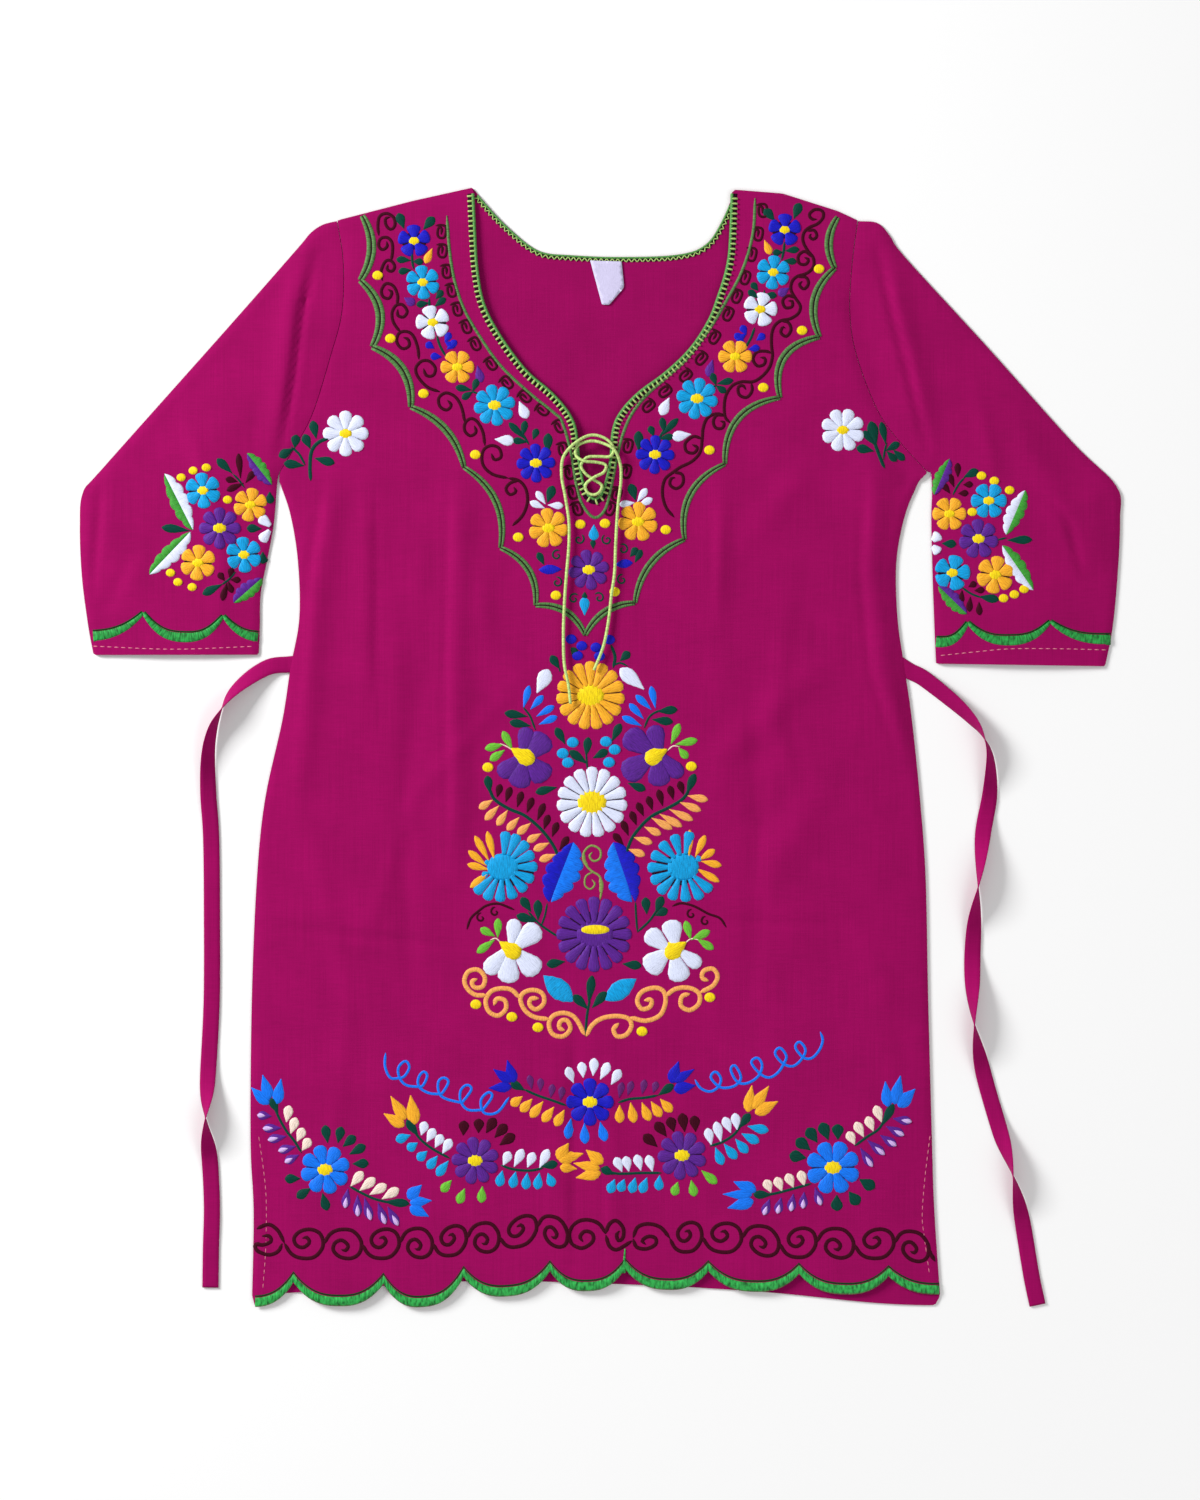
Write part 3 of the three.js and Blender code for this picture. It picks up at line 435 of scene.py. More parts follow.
def weave_waves(tree, position, pitch_mm):
    """Two crossed sets of threads, as heights from 0 to 1."""
    scale = 1.0 / (pitch_mm * MM) / BANDS_PER_UNIT
    waves = [bands(tree, position, scale, 1.2, axis, 1.0) for axis in ("X", "Y")]
    return math_of(tree, *waves, "MAXIMUM")


def cotton(name, colour, pitch_mm=0.55):
    """Plain weave: fine crossed threads, slubs and slightly uneven dye."""
    material, tree, shader = blank_material(name, 0.85, sheen=0.03, specular=0.05)
    position = node(tree, "ShaderNodeTexCoord").outputs["Object"]
    patches = noise(tree, position, 26.0, 4.0)
    slubs = stretched_noise(tree, position, SLUBS)
    cross_slubs = stretched_noise(tree, position, CROSS_SLUBS)
    streaks = math_of(tree, slubs, cross_slubs, "ADD")
    uneven = math_of(tree, streaks, patches, "ADD")
    mean = math_of(tree, uneven, 1 / 3, "MULTIPLY")
    tones = [(0.36, shade(colour, 0.88)), (0.5, colour), (0.64, shade(colour, 1.12))]
    tree.links.new(ramp(tree, mean, tones), shader.inputs["Base Color"])
    threads = bump(tree, weave_waves(tree, position, pitch_mm), 0.35, 0.00012)
    coarse = bump(tree, mean, 0.3, 0.0006, {"Normal": threads})
    tree.links.new(coarse, shader.inputs["Normal"])
    return material


def satin(name, colour, dark=0.66, light=1.25, roughness=0.55, pitch_mm=0.85, shine=0.2):
    """Stitched thread: fine parallel strands along the mesh's second UV axis."""
    material, tree, shader = blank_material(name, roughness, sheen=0.02, specular=shine)
    uv = node(tree, "ShaderNodeUVMap", uv_map="thread").outputs[0]
    strands = stretched_noise(tree, uv, (1.0 / pitch_mm, 0.2, 1.0))
    tones = [(0.3, shade(colour, dark)), (0.5, colour), (0.7, shade(colour, light))]
    tree.links.new(ramp(tree, strands, tones), shader.inputs["Base Color"])
    waves = bands(tree, uv, 1.0 / pitch_mm / BANDS_PER_UNIT, 0.6, "X", 2.0)
    tree.links.new(bump(tree, waves, 0.45, 0.00018), shader.inputs["Normal"])
    return material


MAGENTA = srgb(151, 6, 88)
MATERIALS = {
    "cotton": cotton("cotton_magenta", MAGENTA),
    "cotton_back": cotton("cotton_inside", shade(MAGENTA, 0.94)),
    "royal": satin("thread_royal", srgb(14, 14, 182)),
    "turquoise": satin("thread_turquoise", srgb(0, 152, 214)),
    "blue": satin("thread_blue", srgb(6, 114, 236)),
    "white": satin("thread_white", srgb(218, 224, 248), 0.8, 1.05),
    "orange": satin("thread_orange", srgb(243, 170, 38)),
    "yellow": satin("thread_yellow", srgb(242, 210, 8)),
    "purple": satin("thread_purple", srgb(86, 28, 138)),
    "green": satin("thread_green", srgb(2, 64, 52), shine=0.08),
    "brown": satin("thread_brown", srgb(62, 8, 28), shine=0.04),
    "lime": satin("thread_lime", srgb(104, 184, 50)),
    "peach": satin("thread_peach", srgb(240, 208, 196)),
    "leafgreen": satin("thread_leaf_green", srgb(60, 150, 50)),
    "olive": satin("thread_olive", srgb(126, 150, 74)),
    "apricot": satin("thread_apricot", srgb(240, 164, 88)),
    "yokegreen": satin("thread_yoke_green", srgb(80, 124, 66), 0.5, 1.25, pitch_mm=1.7),
    # painted shade, not a thread colour: dark discs and bands laid under and between stitches where
    # shade falls
    "shadow": satin("painted_shade", srgb(40, 8, 28), shine=0.04),
    "darkgreen": satin("thread_dark_green", srgb(16, 58, 26), shine=0.06),
    "hem": satin("thread_hem_green", srgb(44, 156, 70), 0.28, 1.5, pitch_mm=2.2),
    "cream": satin("thread_cream", srgb(238, 216, 202)),
    "lilac": satin("thread_lilac", srgb(208, 176, 232)),
    "plum": satin("thread_plum", srgb(96, 22, 104)),
    "border": satin("thread_border_green", srgb(38, 142, 62), 0.36, 1.55, pitch_mm=1.9),
    "crochet": satin("crochet_green", srgb(84, 148, 74), roughness=0.6, pitch_mm=1.2),
    "crochet_pale": satin("crochet_pale", srgb(172, 200, 116), roughness=0.6),
    "lace": satin("lace_lime", srgb(186, 214, 128), roughness=0.55),
    "label": satin("label_satin", srgb(206, 200, 232), 0.94, 1.04, roughness=0.5),
    "dash": satin("stitch_pink", srgb(222, 130, 150), roughness=0.6),
}


def new_mesh(name, vertices, faces):
    """A mesh from points in millimetres."""
    mesh = bpy.data.meshes.new(name)
    mesh.from_pydata([tuple(v) for v in np.asarray(vertices) * MM], [], faces)
    return mesh


def finish_piece(name, mesh, material):
    """Turns a mesh into a piece of the dress that rides on its one body."""
    for polygon in mesh.polygons:
        polygon.use_smooth = True
    mesh.materials.append(MATERIALS[material])
    piece = bpy.data.objects.new(name, mesh)
    bpy.context.scene.collection.objects.link(piece)
    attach(piece, "root")
    return piece


# ------------------------------------------------------------------ neck lace

LACE_DIAMETER = 2.4
LACE_STEP = 1.6  # between two rings of points along the lace
LACE_ROUTE = [  # x, y, height of its underside over the front
    (-23.5, 36.8, 2.2), (-25.1, 51.4, 2.2), (-28.4, 68, 2.2), (-29.2, 92, 1.6),
    (-28.4, 116.8, 1.6), (-26.8, 139.6, 1.6), (-24.8, 164, 1.6), (-24.8, 182.4, 1.6),
    (-27.6, 201.6, 1.6), (-30.7, 219.6, 1.6), (-29.4, 233.5, 2), (-21.4, 243.5, 4.8),
    (-7.2, 251.3, 2.2), (5.2, 248, 2.2), (11, 240.5, 2), (8.5, 234.6, 2), (-1.5, 234.2, 2),
    (-10.5, 233.4, 2), (-15.2, 227, 2), (-11.6, 220.6, 2), (-4.7, 215.5, 2), (1.6, 211, 2),
    (-0.8, 205.4, 2), (-5.6, 203.6, 2), (-10.4, 206, 2), (-11.6, 211.6, 2.6), (-5, 217.2, 4.9),
    (3.2, 221.8, 3.4), (4.8, 227.2, 2.4), (-3, 229.6, 2.6), (-13.4, 230.6, 4.9),
    (-19.4, 235.4, 3), (-18.2, 242.6, 2), (-7.2, 246.6, 2.2), (3.6, 244.2, 3.4),
    (11.4, 239.4, 4.9), (16.2, 228, 2.4), (16.8, 216.3, 1.6), (14.4, 195.2, 1.6),
    (12.6, 166, 1.6), (11.6, 141.2, 1.6), (9.1, 123.2, 1.6), (6.7, 102.4, 1.6),
    (2.6, 82.4, 2.2), (-4.8, 63.7, 2.2),
]


def centripetal(points, steps):
    """A curve through points whose spacing varies, as the solid tube follows it."""
    p = np.asarray(points, float)
    p = np.vstack([2 * p[0] - p[1], p, 2 * p[-1] - p[-2]])
    out = []
    for p0, p1, p2, p3 in zip(p[:-3], p[1:-2], p[2:-1], p[3:]):
        t1 = np.linalg.norm(p1 - p0) ** 0.5
        t2 = t1 + np.linalg.norm(p2 - p1) ** 0.5
        t3 = t2 + np.linalg.norm(p3 - p2) ** 0.5
        for t in np.linspace(t1, t2, steps, endpoint=False):
            a1 = p0 + (p1 - p0) * t / t1
            a2 = p1 + (p2 - p1) * (t - t1) / (t2 - t1)
            a3 = p2 + (p3 - p2) * (t - t2) / (t3 - t2)
            b1 = a1 + (a2 - a1) * t / t2
            b2 = a2 + (a3 - a2) * (t - t1) / (t3 - t1)
            out.append(b1 + (b2 - b1) * (t - t1) / (t2 - t1))
    return np.array(out + [p[-2]])


def tube(name, path, radius, material, sides=10, swell=0.0, swell_pitch=3.0):
    """A round cord along a path, whose plaits make it swell a little along its length."""
    along = directions(path)
    side = np.cross(along, (0.0, 0.0, 1.0))
    side /= np.linalg.norm(side, axis=1, keepdims=True)
    up = np.cross(side, along)
    run = run_along(path)
    vertices, uvs = [], []
    for k in range(sides):
        angle = 2 * math.pi * k / sides
        r = radius * (1 + swell * np.sin(2 * math.pi * run / swell_pitch + 2 * angle))[:, None]
        vertices.append(path + r * (math.cos(angle) * side + math.sin(angle) * up))
        uvs.append(np.stack([run, np.full(len(run), radius * angle)], axis=1))
    vertices = np.stack(vertices, axis=1).reshape(-1, 3)
    uvs = np.stack(uvs, axis=1).reshape(-1, 2)
    faces = []
    for i in range(len(path) - 1):
        for k in range(sides):
            a, b = i * sides + k, i * sides + (k + 1) % sides
            faces.append((a, a + sides, b + sides, b))
    faces.append(tuple(range(sides)))
    faces.append(tuple(range((len(path) - 1) * sides, len(path) * sides))[::-1])
    return thread_piece(name, vertices, faces, uvs, material)


def thread_piece(name, vertices, faces, uvs, material):
    """A piece whose strands run along the second axis of its UVs."""
    mesh = new_mesh(name, vertices, faces)
    layer = mesh.uv_layers.new(name="thread")
    loops = np.empty(len(mesh.loops), dtype=np.int32)
    mesh.loops.foreach_get("vertex_index", loops)
    layer.data.foreach_set("uv", np.asarray(uvs)[loops].astype(np.float32).ravel())
    return finish_piece(name, mesh, material)


def add_lace():
    radius = LACE_DIAMETER / 2
    route = np.array(LACE_ROUTE)
    height = plain_top(route[:, 0], route[:, 1]) + route[:, 2] + radius
    path = centripetal(np.stack([route[:, 0], route[:, 1], height], axis=1), 8)
    path = even(path, LACE_STEP)
    lace = tube("lace_cord", path, radius, "lace", swell=0.07)
    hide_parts("lace")


add_lace()

# ------------------------------------------------------------------ cloth

COARSE = 7.0  # spacing of the points in sheets that hardly show
EDGE_CLEARANCE = 0.45  # share of the spacing that stays free along an outline
MERGED = 1e-5  # points closer than this count as one
SHARP_ANGLE = math.radians(50)


def inside_outline(points, outline):
    """Which points lie inside a closed outline."""
    x, y = points[:, 0], points[:, 1]
    inside = np.zeros(len(points), bool)
    for (ax, ay), (bx, by) in zip(outline, np.roll(outline, -1, axis=0)):
        if ay != by:
            crosses = (ay > y) != (by > y)
            inside ^= crosses & (x < (bx - ax) * (y - ay) / (by - ay) + ax)
    return inside


def triangulate(outline, spacing, edge_spacing):
    """Points and triangles that fill an outline, close to evenly."""
    closed = even(np.vstack([outline, outline[:1]]), edge_spacing)[:-1]
    low, high = closed.min(axis=0), closed.max(axis=0)
    row_step = spacing * math.sqrt(3) / 2
    rows = np.arange(low[1], high[1], row_step)
    grid = []
    for number, y in enumerate(rows):
        x = np.arange(low[0] + (number % 2) * spacing / 2, high[0], spacing)
        grid.append(np.stack([x, np.full(len(x), y)], axis=1))
    grid = np.vstack(grid)
    grid = grid[inside_outline(grid, closed)]
    clear, _ = distance_to_path(grid[:, 0], grid[:, 1], np.vstack([closed, closed[:1]]))
    grid = grid[clear > spacing * EDGE_CLEARANCE]
    points = np.vstack([closed, grid])
    count = len(closed)
    edges = [(i, (i + 1) % count) for i in range(count)]
    found = delaunay_2d_cdt([tuple(p) for p in points], edges, [], 0, MERGED, False)
    points = np.array([tuple(v) for v in found[0]])
    triangles = np.array([face for face in found[2] if len(face) == 3])
    middles = points[triangles].mean(axis=1)
    return points, triangles[inside_outline(middles, closed)]


def sheet_parts(outline, height, thickness, spacing=4.2, edge_spacing=3.0):
    """A closed thin sheet: the triangles of its top, of its underside and of its rim."""
    points, triangles = triangulate(outline, spacing, edge_spacing)
    top = height(points[:, 0], points[:, 1])
    a, b, c = points[triangles[:, 0]], points[triangles[:, 1]], points[triangles[:, 2]]
    turned = np.cross(b - a, c - a) < 0
    triangles[turned] = triangles[turned][:, ::-1]
    count = len(points)
    vertices = np.vstack([
        np.column_stack([points, top]),
        np.column_stack([points, np.maximum(top - thickness, 0.0)]),
    ])
    sides = {}
    for triangle in triangles.tolist():
        for i in range(3):
            sides[(triangle[i], triangle[(i + 1) % 3])] = True
    rim = [(j, i, i + count, j + count) for i, j in sides if (j, i) not in sides]
    faces = triangles.tolist() + (triangles[:, ::-1] + count).tolist() + rim
    return vertices, faces


def cloth_piece(name, sheets, material, node_name):
    vertices, faces = [], []
    for sheet_vertices, sheet_faces in sheets:
        start = sum(len(v) for v in vertices)
        vertices.append(sheet_vertices)
        faces += [tuple(i + start for i in face) for face in sheet_faces]
    piece = finish_piece(name, new_mesh(name, np.vstack(vertices), faces), material)
    piece.data.set_sharp_from_angle(angle=SHARP_ANGLE)
    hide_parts(node_name)
    return piece


CUSP_DROP = 7.5  # from the tip of the hem's border down to the edge of the cloth


def hem_edge():
    """Lower edge of the front, and of the satin border that covers it."""
    edge = scallops([(x, y - CUSP_DROP, depth - CUSP_DROP) for x, y, depth in HEM_SCALLOPS])
    return clipped(edge, X, -278.4, 272.2)


def panel_outline(hem, neck, left_end, right_end):
    """Down the left side to its lower end, along the hem, up the right side and round the neck."""
    left = clipped(edge_of(SIDES, "left"), Y, low=left_end)
    right = clipped(edge_of(SIDES, "right"), Y, low=right_end)
    return np.vstack([
        LEFT_SHOULDER, edge_of(ARMHOLE, "left"), left, hem, right[::-1],
        edge_of(ARMHOLE, "right")[::-1], RIGHT_SHOULDER[::-1], neck,
    ])


def front_outline():
    neck_left = clipped(edge_of(V_NECK, "left"), Y, high=449)
    neck_right = clipped(edge_of(V_NECK, "right"), Y, high=452)
    neck = np.vstack([neck_right, [SLIT_END], neck_left[::-1]])
    return panel_outline(hem_edge(), neck, -444, -434)


def back_outline():
    hem = clipped(smooth(BACK_HEM), X, -279, 272.5)
    neck = clipped(BACK_NECK_LINE, Y, high=452)
    return panel_outline(hem, neck[::-1], -434, -443)


def sleeve_outline(side):
    gap = -1.5 * SEAM_GAP if side == "left" else 1.5 * SEAM_GAP
    armhole = edge_of(ARMHOLE, side)[::-1][:-1] + np.array([gap, 0])
    return np.vstack([smooth(SLEEVE_OUTER[side]), smooth(SLEEVE_INNER[side])[::-1], armhole])


SIDE_SEAMS = [edge_of(SIDES, "left", 2), edge_of(SIDES, "right", 2)]
SIDE_DIP, SIDE_DIP_WIDTH = 0.6, 1.8
ARMHOLE_SEAMS = [edge_of(ARMHOLE, "left", 2), edge_of(ARMHOLE, "right", 2)]
ARMHOLE_DIP, ARMHOLE_DIP_WIDTH = 0.4, 1.6
BACK_RIPPLE = 0.12  # share of the ripples that the back shows
SLEEVE_EDGE = 0.95  # height of a sleeve's upper layer at its pressed edges
SLEEVE_EDGE_WIDTH = 1.6
UNDERSIDE_LIFT, UNDERSIDE_EDGE_LIFT = 0.05, 0.3  # of a sleeve's lower layer, and more at its edges


def armhole_dip(x, y):
    return ARMHOLE_DIP * near(distance_to_paths(x, y, ARMHOLE_SEAMS), ARMHOLE_DIP_WIDTH)


def near_sleeve_edges(x, y, side):
    edges = [smooth(SLEEVE_OUTER[side], 2), smooth(SLEEVE_INNER[side], 2)]
    return near(distance_to_paths(x, y, edges), SLEEVE_EDGE_WIDTH)


def front_top(x, y):
    side_dip = SIDE_DIP * near(distance_to_paths(x, y, SIDE_SEAMS), SIDE_DIP_WIDTH)
    return upper_top(x, y) - side_dip - armhole_dip(x, y)


def back_top(x, y):
    return BACK_TOP + BACK_RIPPLE * ripples(x, y)


def sleeve_top(side):
    def height(x, y):
        top = upper_top(x, y)
        return top - (top - SLEEVE_EDGE) * near_sleeve_edges(x, y, side) - armhole_dip(x, y)
    return height


def sleeve_bottom(side):
    def height(x, y):
        return CLOTH + UNDERSIDE_LIFT + UNDERSIDE_EDGE_LIFT * near_sleeve_edges(x, y, side)
    return height


def spans(outline):
    """Width and length in metres."""
    size = (outline.max(axis=0) - outline.min(axis=0)) * MM
    return float(size[0]), float(size[1])


def add_cloth():
    front_sheet = sheet_parts(front_outline(), front_top, CLOTH)
    front = cloth_piece("front_panel", [front_sheet], "cotton", "front")
    back_sheet = sheet_parts(back_outline(), back_top, CLOTH, spacing=COARSE)
    back = cloth_piece("back_panel", [back_sheet], "cotton_back", "back")
    for side in ("left", "right"):
        outline = sleeve_outline(side)
        sheets = [
            sheet_parts(outline, sleeve_top(side), CLOTH),
            sheet_parts(outline, sleeve_bottom(side), CLOTH, spacing=COARSE),
        ]
        sleeve = cloth_piece(f"sleeve_tube_{side}", sheets, "cotton", f"sleeve_{side}")


add_cloth()

# ------------------------------------------------------------------ stitches

WORKS = {}  # one mesh for each region of the embroidery and each colour of thread
SURFACES = {
    "front": front_top, "trim": front_top, "back": back_top,
    "sleeve_left": sleeve_top("left"), "sleeve_right": sleeve_top("right"),
}
SECTION = (  # across and up, as shares of a stitch's half-width and rise
    (-1.0, 0.0), (-0.66, 0.72), (0.0, 1.0), (0.66, 0.72), (1.0, 0.0),
)
SUNK = 0.3  # how far a stitch's edges reach below the cloth's face
THINNEST = 0.06  # half-width at a pointed end
FULL_RISE = 0.35  # share of the widest half-width at which a stitch has its full height


class Work:
    """The points, faces and UVs of all stitches in one region and one colour."""

    def __init__(self):
        self.vertices, self.faces, self.uvs, self.count = [], [], [], 0


def ring_faces(rings, sides, first=0):
    """Faces over closed rings of points that follow one another, with both ends shut."""
    last = first + (rings - 1) * sides
    faces = []
    for start in range(first, last, sides):
        for k in range(sides):
            a, b = start + k, start + (k + 1) % sides
            faces.append((a, b, b + sides, a + sides))
    faces.append(tuple(range(first, first + sides))[::-1])
    faces.append(tuple(range(last, last + sides)))
    return faces


def stitch(region, colour, line, half_widths, height=0.7, lengthways=False, across=None):
    """A low rounded body of thread along a line: a petal, a drop, a leaf or a stem."""
    work = WORKS.setdefault((region, colour), Work())
    half = np.maximum(half_widths, THINNEST) * np.ones(len(line))
    if across is None:
        across = leftward(directions(line))
    run = run_along(line)
    rise = height * np.minimum(1.0, half / (FULL_RISE * half.max())) ** 0.5
    rings, uvs = [], []
    for place, dome in SECTION:
        plan = line + across * (place * half)[:, None]
        rings.append(np.column_stack([plan, dome * (rise + SUNK) - SUNK]))
        sideways = place * half
        uvs.append(np.column_stack([sideways, run] if lengthways else [run, sideways]))
    work.vertices.append(np.stack(rings, axis=1).reshape(-1, 3))
    work.uvs.append(np.stack(uvs, axis=1).reshape(-1, 2))
    faces = ring_faces(len(line), len(SECTION), work.count)
    work.faces += [face[::-1] for face in faces]
    work.count += len(line) * len(SECTION)


def stations(count):
    """Shares from 0 to 1 that lie closer together towards both ends."""
    return (1 - np.cos(np.linspace(0, math.pi, count))) / 2


def petal_profile(t, cap=0.66):
    """Widens like a wedge from the root up to cap, and ends round."""
    past = np.clip(t - cap, 0, None) / (1 - cap)
    widening = 0.34 + 0.66 * np.clip(t / cap, 0, 1)
    return widening * np.sqrt(np.clip(1 - past**2.4, 0, 1))


def blunt_petal_profile(t):
    return petal_profile(t, 0.82)


def drop_profile(t):
    return 0.1 * (1 - t) + np.sin(math.pi * np.clip(t, 0, 1) ** 1.7) ** 0.7


def leaf_profile(t):
    return np.sin(math.pi * np.clip(t, 0, 1) ** 0.9) ** 0.95


def patch(region, colour, root, tip, width, profile, height=0.7, count=8, bow=0.0, lengthways=True):
    """One petal, drop or leaf from its root to its tip, both on the drawing. bow bends it."""
    start, end = at(*root), at(*tip)
    t = stations(count)
    straight = start + (end - start) * t[:, None]
    side = np.array([-(end - start)[1], (end - start)[0]])
    line = straight + side * (bow * 4 * t * (1 - t))[:, None]
    stitch(region, colour, line, profile(t) * width * UNIT / 2, height, lengthways)


DROP_FULLNESS = 1.15  # widens every drop to the photographed size


def drop(region, colour, root, tip, width, bow=0.0, height=0.6):
    patch(region, colour, root, tip, width * DROP_FULLNESS, drop_profile, height, 9, bow)


def leaf(region, colour, root, tip, width, bow=0.0, height=0.6):
    patch(region, colour, root, tip, width, leaf_profile, height, 8, bow, lengthways=False)


def button(region, colour, x, y, radius, height=1.1, flat=1.0):
    """A round knob, or an oval one when flat is below 1."""
    centre = at(x, y)
    t = stations(9)
    line = centre + np.stack([(2 * t - 1) * radius * UNIT, 0 * t], axis=1)
    profile = np.sqrt(np.maximum(1 - (2 * t - 1) ** 2, 0)) * flat
    stitch(region, colour, line, profile * radius * UNIT, height)


def polar(x, y, radius, degrees):
    """A place on the drawing, which has its y down, at an angle that turns from +X to up."""
    angle = math.radians(degrees)
    return x + radius * math.cos(angle), y - radius * math.sin(angle)


MANY_PETALS = 10  # from this number on, the petals are blunt and lie close together


def flower(region, colour, x, y, radius, petals, centre="yellow", core=0.32, turn=90.0):
    """Petals round a button, over a disc of painted shade that darkens the seams between them. core is
    the button's share of the radius.
    """
    pitch = 360 / petals
    many = petals >= MANY_PETALS
    width = 2 * radius * math.sin(math.radians(pitch / 2)) * (0.94 if many else 0.86)
    profile = blunt_petal_profile if many else petal_profile
    # painted shade: a dark disc under the petals, seen in the seams between them
    button(region, "shadow", x, y, radius * (0.9 if many else 0.8), 0.12)
    for k in range(petals):
        angle = turn + k * pitch
        root = polar(x, y, radius * core * 0.7, angle)
        patch(region, colour, root, polar(x, y, radius, angle), width, profile, 0.85)
    if centre:
        button(region, centre, x, y, radius * core)


def stem(region, colour, places, width=2.4, height=0.45, steps=6, spacing=1.6):
    """A line of thread through places on the drawing, thinner at both ends."""
    line = even(smooth(line_at(*places), steps), spacing)
    t = np.linspace(0, 1, len(line))
    taper = np.minimum(1.0, np.minimum(t, 1 - t) * len(line) / 2.5 + 0.25)
    stitch(region, colour, line, taper * width * UNIT / 2, height)


def spiral_places(x, y, radius, turns, start, clockwise=False, inner=0.18, count=18):
    """Places along a spiral that winds in from its outer end, at the start angle."""
    sign = -1 if clockwise else 1
    places = []
    for t in np.linspace(0, 1, count):
        places.append(polar(x, y, radius * (1 - (1 - inner) * t), start + sign * 360 * turns * t))
    return places


def dashes(region, colour, line, dash=3.4, gap=2.2, width=0.9, height=0.25):
    """A row of short stitches."""
    run = run_along(line)
    for begin in np.arange(0.5, run[-1] - dash, dash + gap):
        stops = np.linspace(begin, begin + dash, 4)
        piece = np.stack([np.interp(stops, run, line[:, k]) for k in (0, 1)], axis=1)
        stitch(region, colour, piece, np.array([0.6, 1, 1, 0.6]) * width / 2, height)


def make_works(replaced):
    """Lays every region's stitches on the cloth, one piece for each colour of thread."""
    for (region, colour), work in sorted(WORKS.items()):
        vertices = np.vstack(work.vertices)
        surface = SURFACES.get(region, front_top)
        vertices[:, 2] += surface(vertices[:, 0], vertices[:, 1])
        name = f"{region}_{colour}_stitches"
        piece = thread_piece(name, vertices, work.faces, np.vstack(work.uvs), colour)
        nodes = replaced.get((region, colour))
        if nodes:
            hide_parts(*nodes)


# ------------------------------------------------------------------ borders and trims

YOKE_CUSPS = [  # x, y, how far the line to the next cusp bends inward, width of the double line
    (-190, 427.2, 8.2, 8.4), (-191.6, 375.2, 11, 8.4), (-182, 322, 10.7, 8.4), (-151.2, 274, 9, 7.4),
    (-108.6, 225.8, 12, 6.8), (-79.5, 161.5, 10, 6.6), (-51.5, 115.5, 8.2, 6.6), (-11.8, 91.8, 7, 6.6),
    (28, 117.5, 9.5, 6.6), (67.6, 168.3, 13, 6.6), (99.8, 228.5, 15, 6.8), (143.7, 281.5, 15, 7.4),
    (175.3, 330, 10.4, 7.6), (187.7, 385, 6, 7.6), (190, 426, 0, 0),
]
INNER_YOKE_LINE = [  # on the drawing
    (447, 216), (449.6, 250), (454.4, 280), (464, 309), (480, 337), (500.6, 366), (529, 393),
    (555, 414), (562, 422), (570.6, 451), (575.7, 482), (582, 504), (594, 518), (605, 510),
    (611, 488), (618, 453), (624, 431.5), (632, 414), (645.8, 396.3), (665.2, 378.8), (684.7, 361.2),
    (700.3, 341.8), (714, 322.3), (727.6, 299), (739.3, 277.4), (748, 254), (753.5, 228.7),
    (755, 198.5),
]
CUFF_EDGE = {
    "left": [(-405.5, 78.5), (-340, 76), (-273.5, 78.5)],
    "right": [(272, 71), (300, 73.9), (328, 76.3), (366, 76.4), (405, 75.5)],
}
VENT_LINES = (  # the dashes beside the side vents, on the drawing
    [(259, 1136), (264, 1171), (266.5, 1201), (266, 1248), (263, 1290)],
    [(930, 1135), (925, 1175), (922, 1214), (924, 1236), (929, 1272)],
)
HEM_BAND = 8.0  # upright width of the satin border along the hem
CUFF_BAND = (1.3, 4.4)  # half-width of the cuffs' border at a cusp and at the bottom of a scallop


def bowed(start, end, inward, steps=16):
    """A line bent to one side by this much in its middle, and each point's share of the way."""
    a, b = np.array(start, float), np.array(end, float)
    t = np.linspace(0, 1, steps)
    normal = np.array([-(b - a)[1], (b - a)[0]]) / np.linalg.norm(b - a)
    return a + (b - a) * t[:, None] + normal * (inward * 4 * t * (1 - t))[:, None], t


def add_yoke_lines():
    for (ax, ay, bend, width), (bx, by, _, _) in zip(YOKE_CUSPS[:-1], YOKE_CUSPS[1:]):
        middle, t = bowed((ax, ay), (bx, by), bend)
        share = 0.6 + 0.4 * np.sin(math.pi * t) ** 0.7
        quarter = width * share / 4
        for side in (-1, 1):
            stitch("front", "yokegreen", offset(middle, side * quarter), quarter - 0.15, 0.75)
        # painted shade: a dark line in the gap between the two satin lines
        stitch("front", "shadow", middle, np.full(len(t), 0.7), 0.5)
    line = even(smooth(line_at(*INNER_YOKE_LINE), 5), 2.4)
    from_start = np.arange(len(line))
    taper = np.minimum(1, 0.3 + np.minimum(from_start, from_start[::-1]) / 4)
    stitch("front", "yokegreen", line, 1.35 * taper, 0.7)


def add_hem_border():
    lower = hem_edge()
    middle = lower + np.array([0, HEM_BAND / 2 - 0.4])
    upright = np.tile([0.0, 1.0], (len(lower), 1))
    stitch("front", "hem", middle, HEM_BAND / 2, 0.75, across=upright)
    stitch("front", "darkgreen", lower + np.array([0, HEM_BAND + 0.3]), 0.8, 0.7, across=upright)
    spike = np.linspace(at(623.5, 1272), at(625, 1248), 5)
    stitch("front", "hem", spike, np.linspace(1.6, 0.6, 5), 0.75)


def add_cuff_borders():
    thin, wide = CUFF_BAND
    for side, rows in CUFF_SCALLOPS.items():
        for start, end in zip(rows[:-1], rows[1:]):
            line = scallops([start, end], steps=26)
            line = line[inside_outline(line, sleeve_outline(side))]
            t = (line[:, 0] - start[0]) / (end[0] - start[0])
            half_widths = thin + (wide - thin) * np.sin(math.pi * t) ** 0.8
            stitch(f"sleeve_{side}", "border", line, half_widths, 0.75)
            stitch(f"sleeve_{side}", "darkgreen", offset(line, half_widths + 0.3), 0.7, 0.7)


def add_dashed_lines():
    for side, line in CUFF_EDGE.items():
        dashes(f"sleeve_{side}", "dash", smooth(np.array(line) + np.array([0, 4.5]), 8))
    for places in VENT_LINES:
        dashes("front", "dash", smooth(line_at(*places), 6), width=0.7)


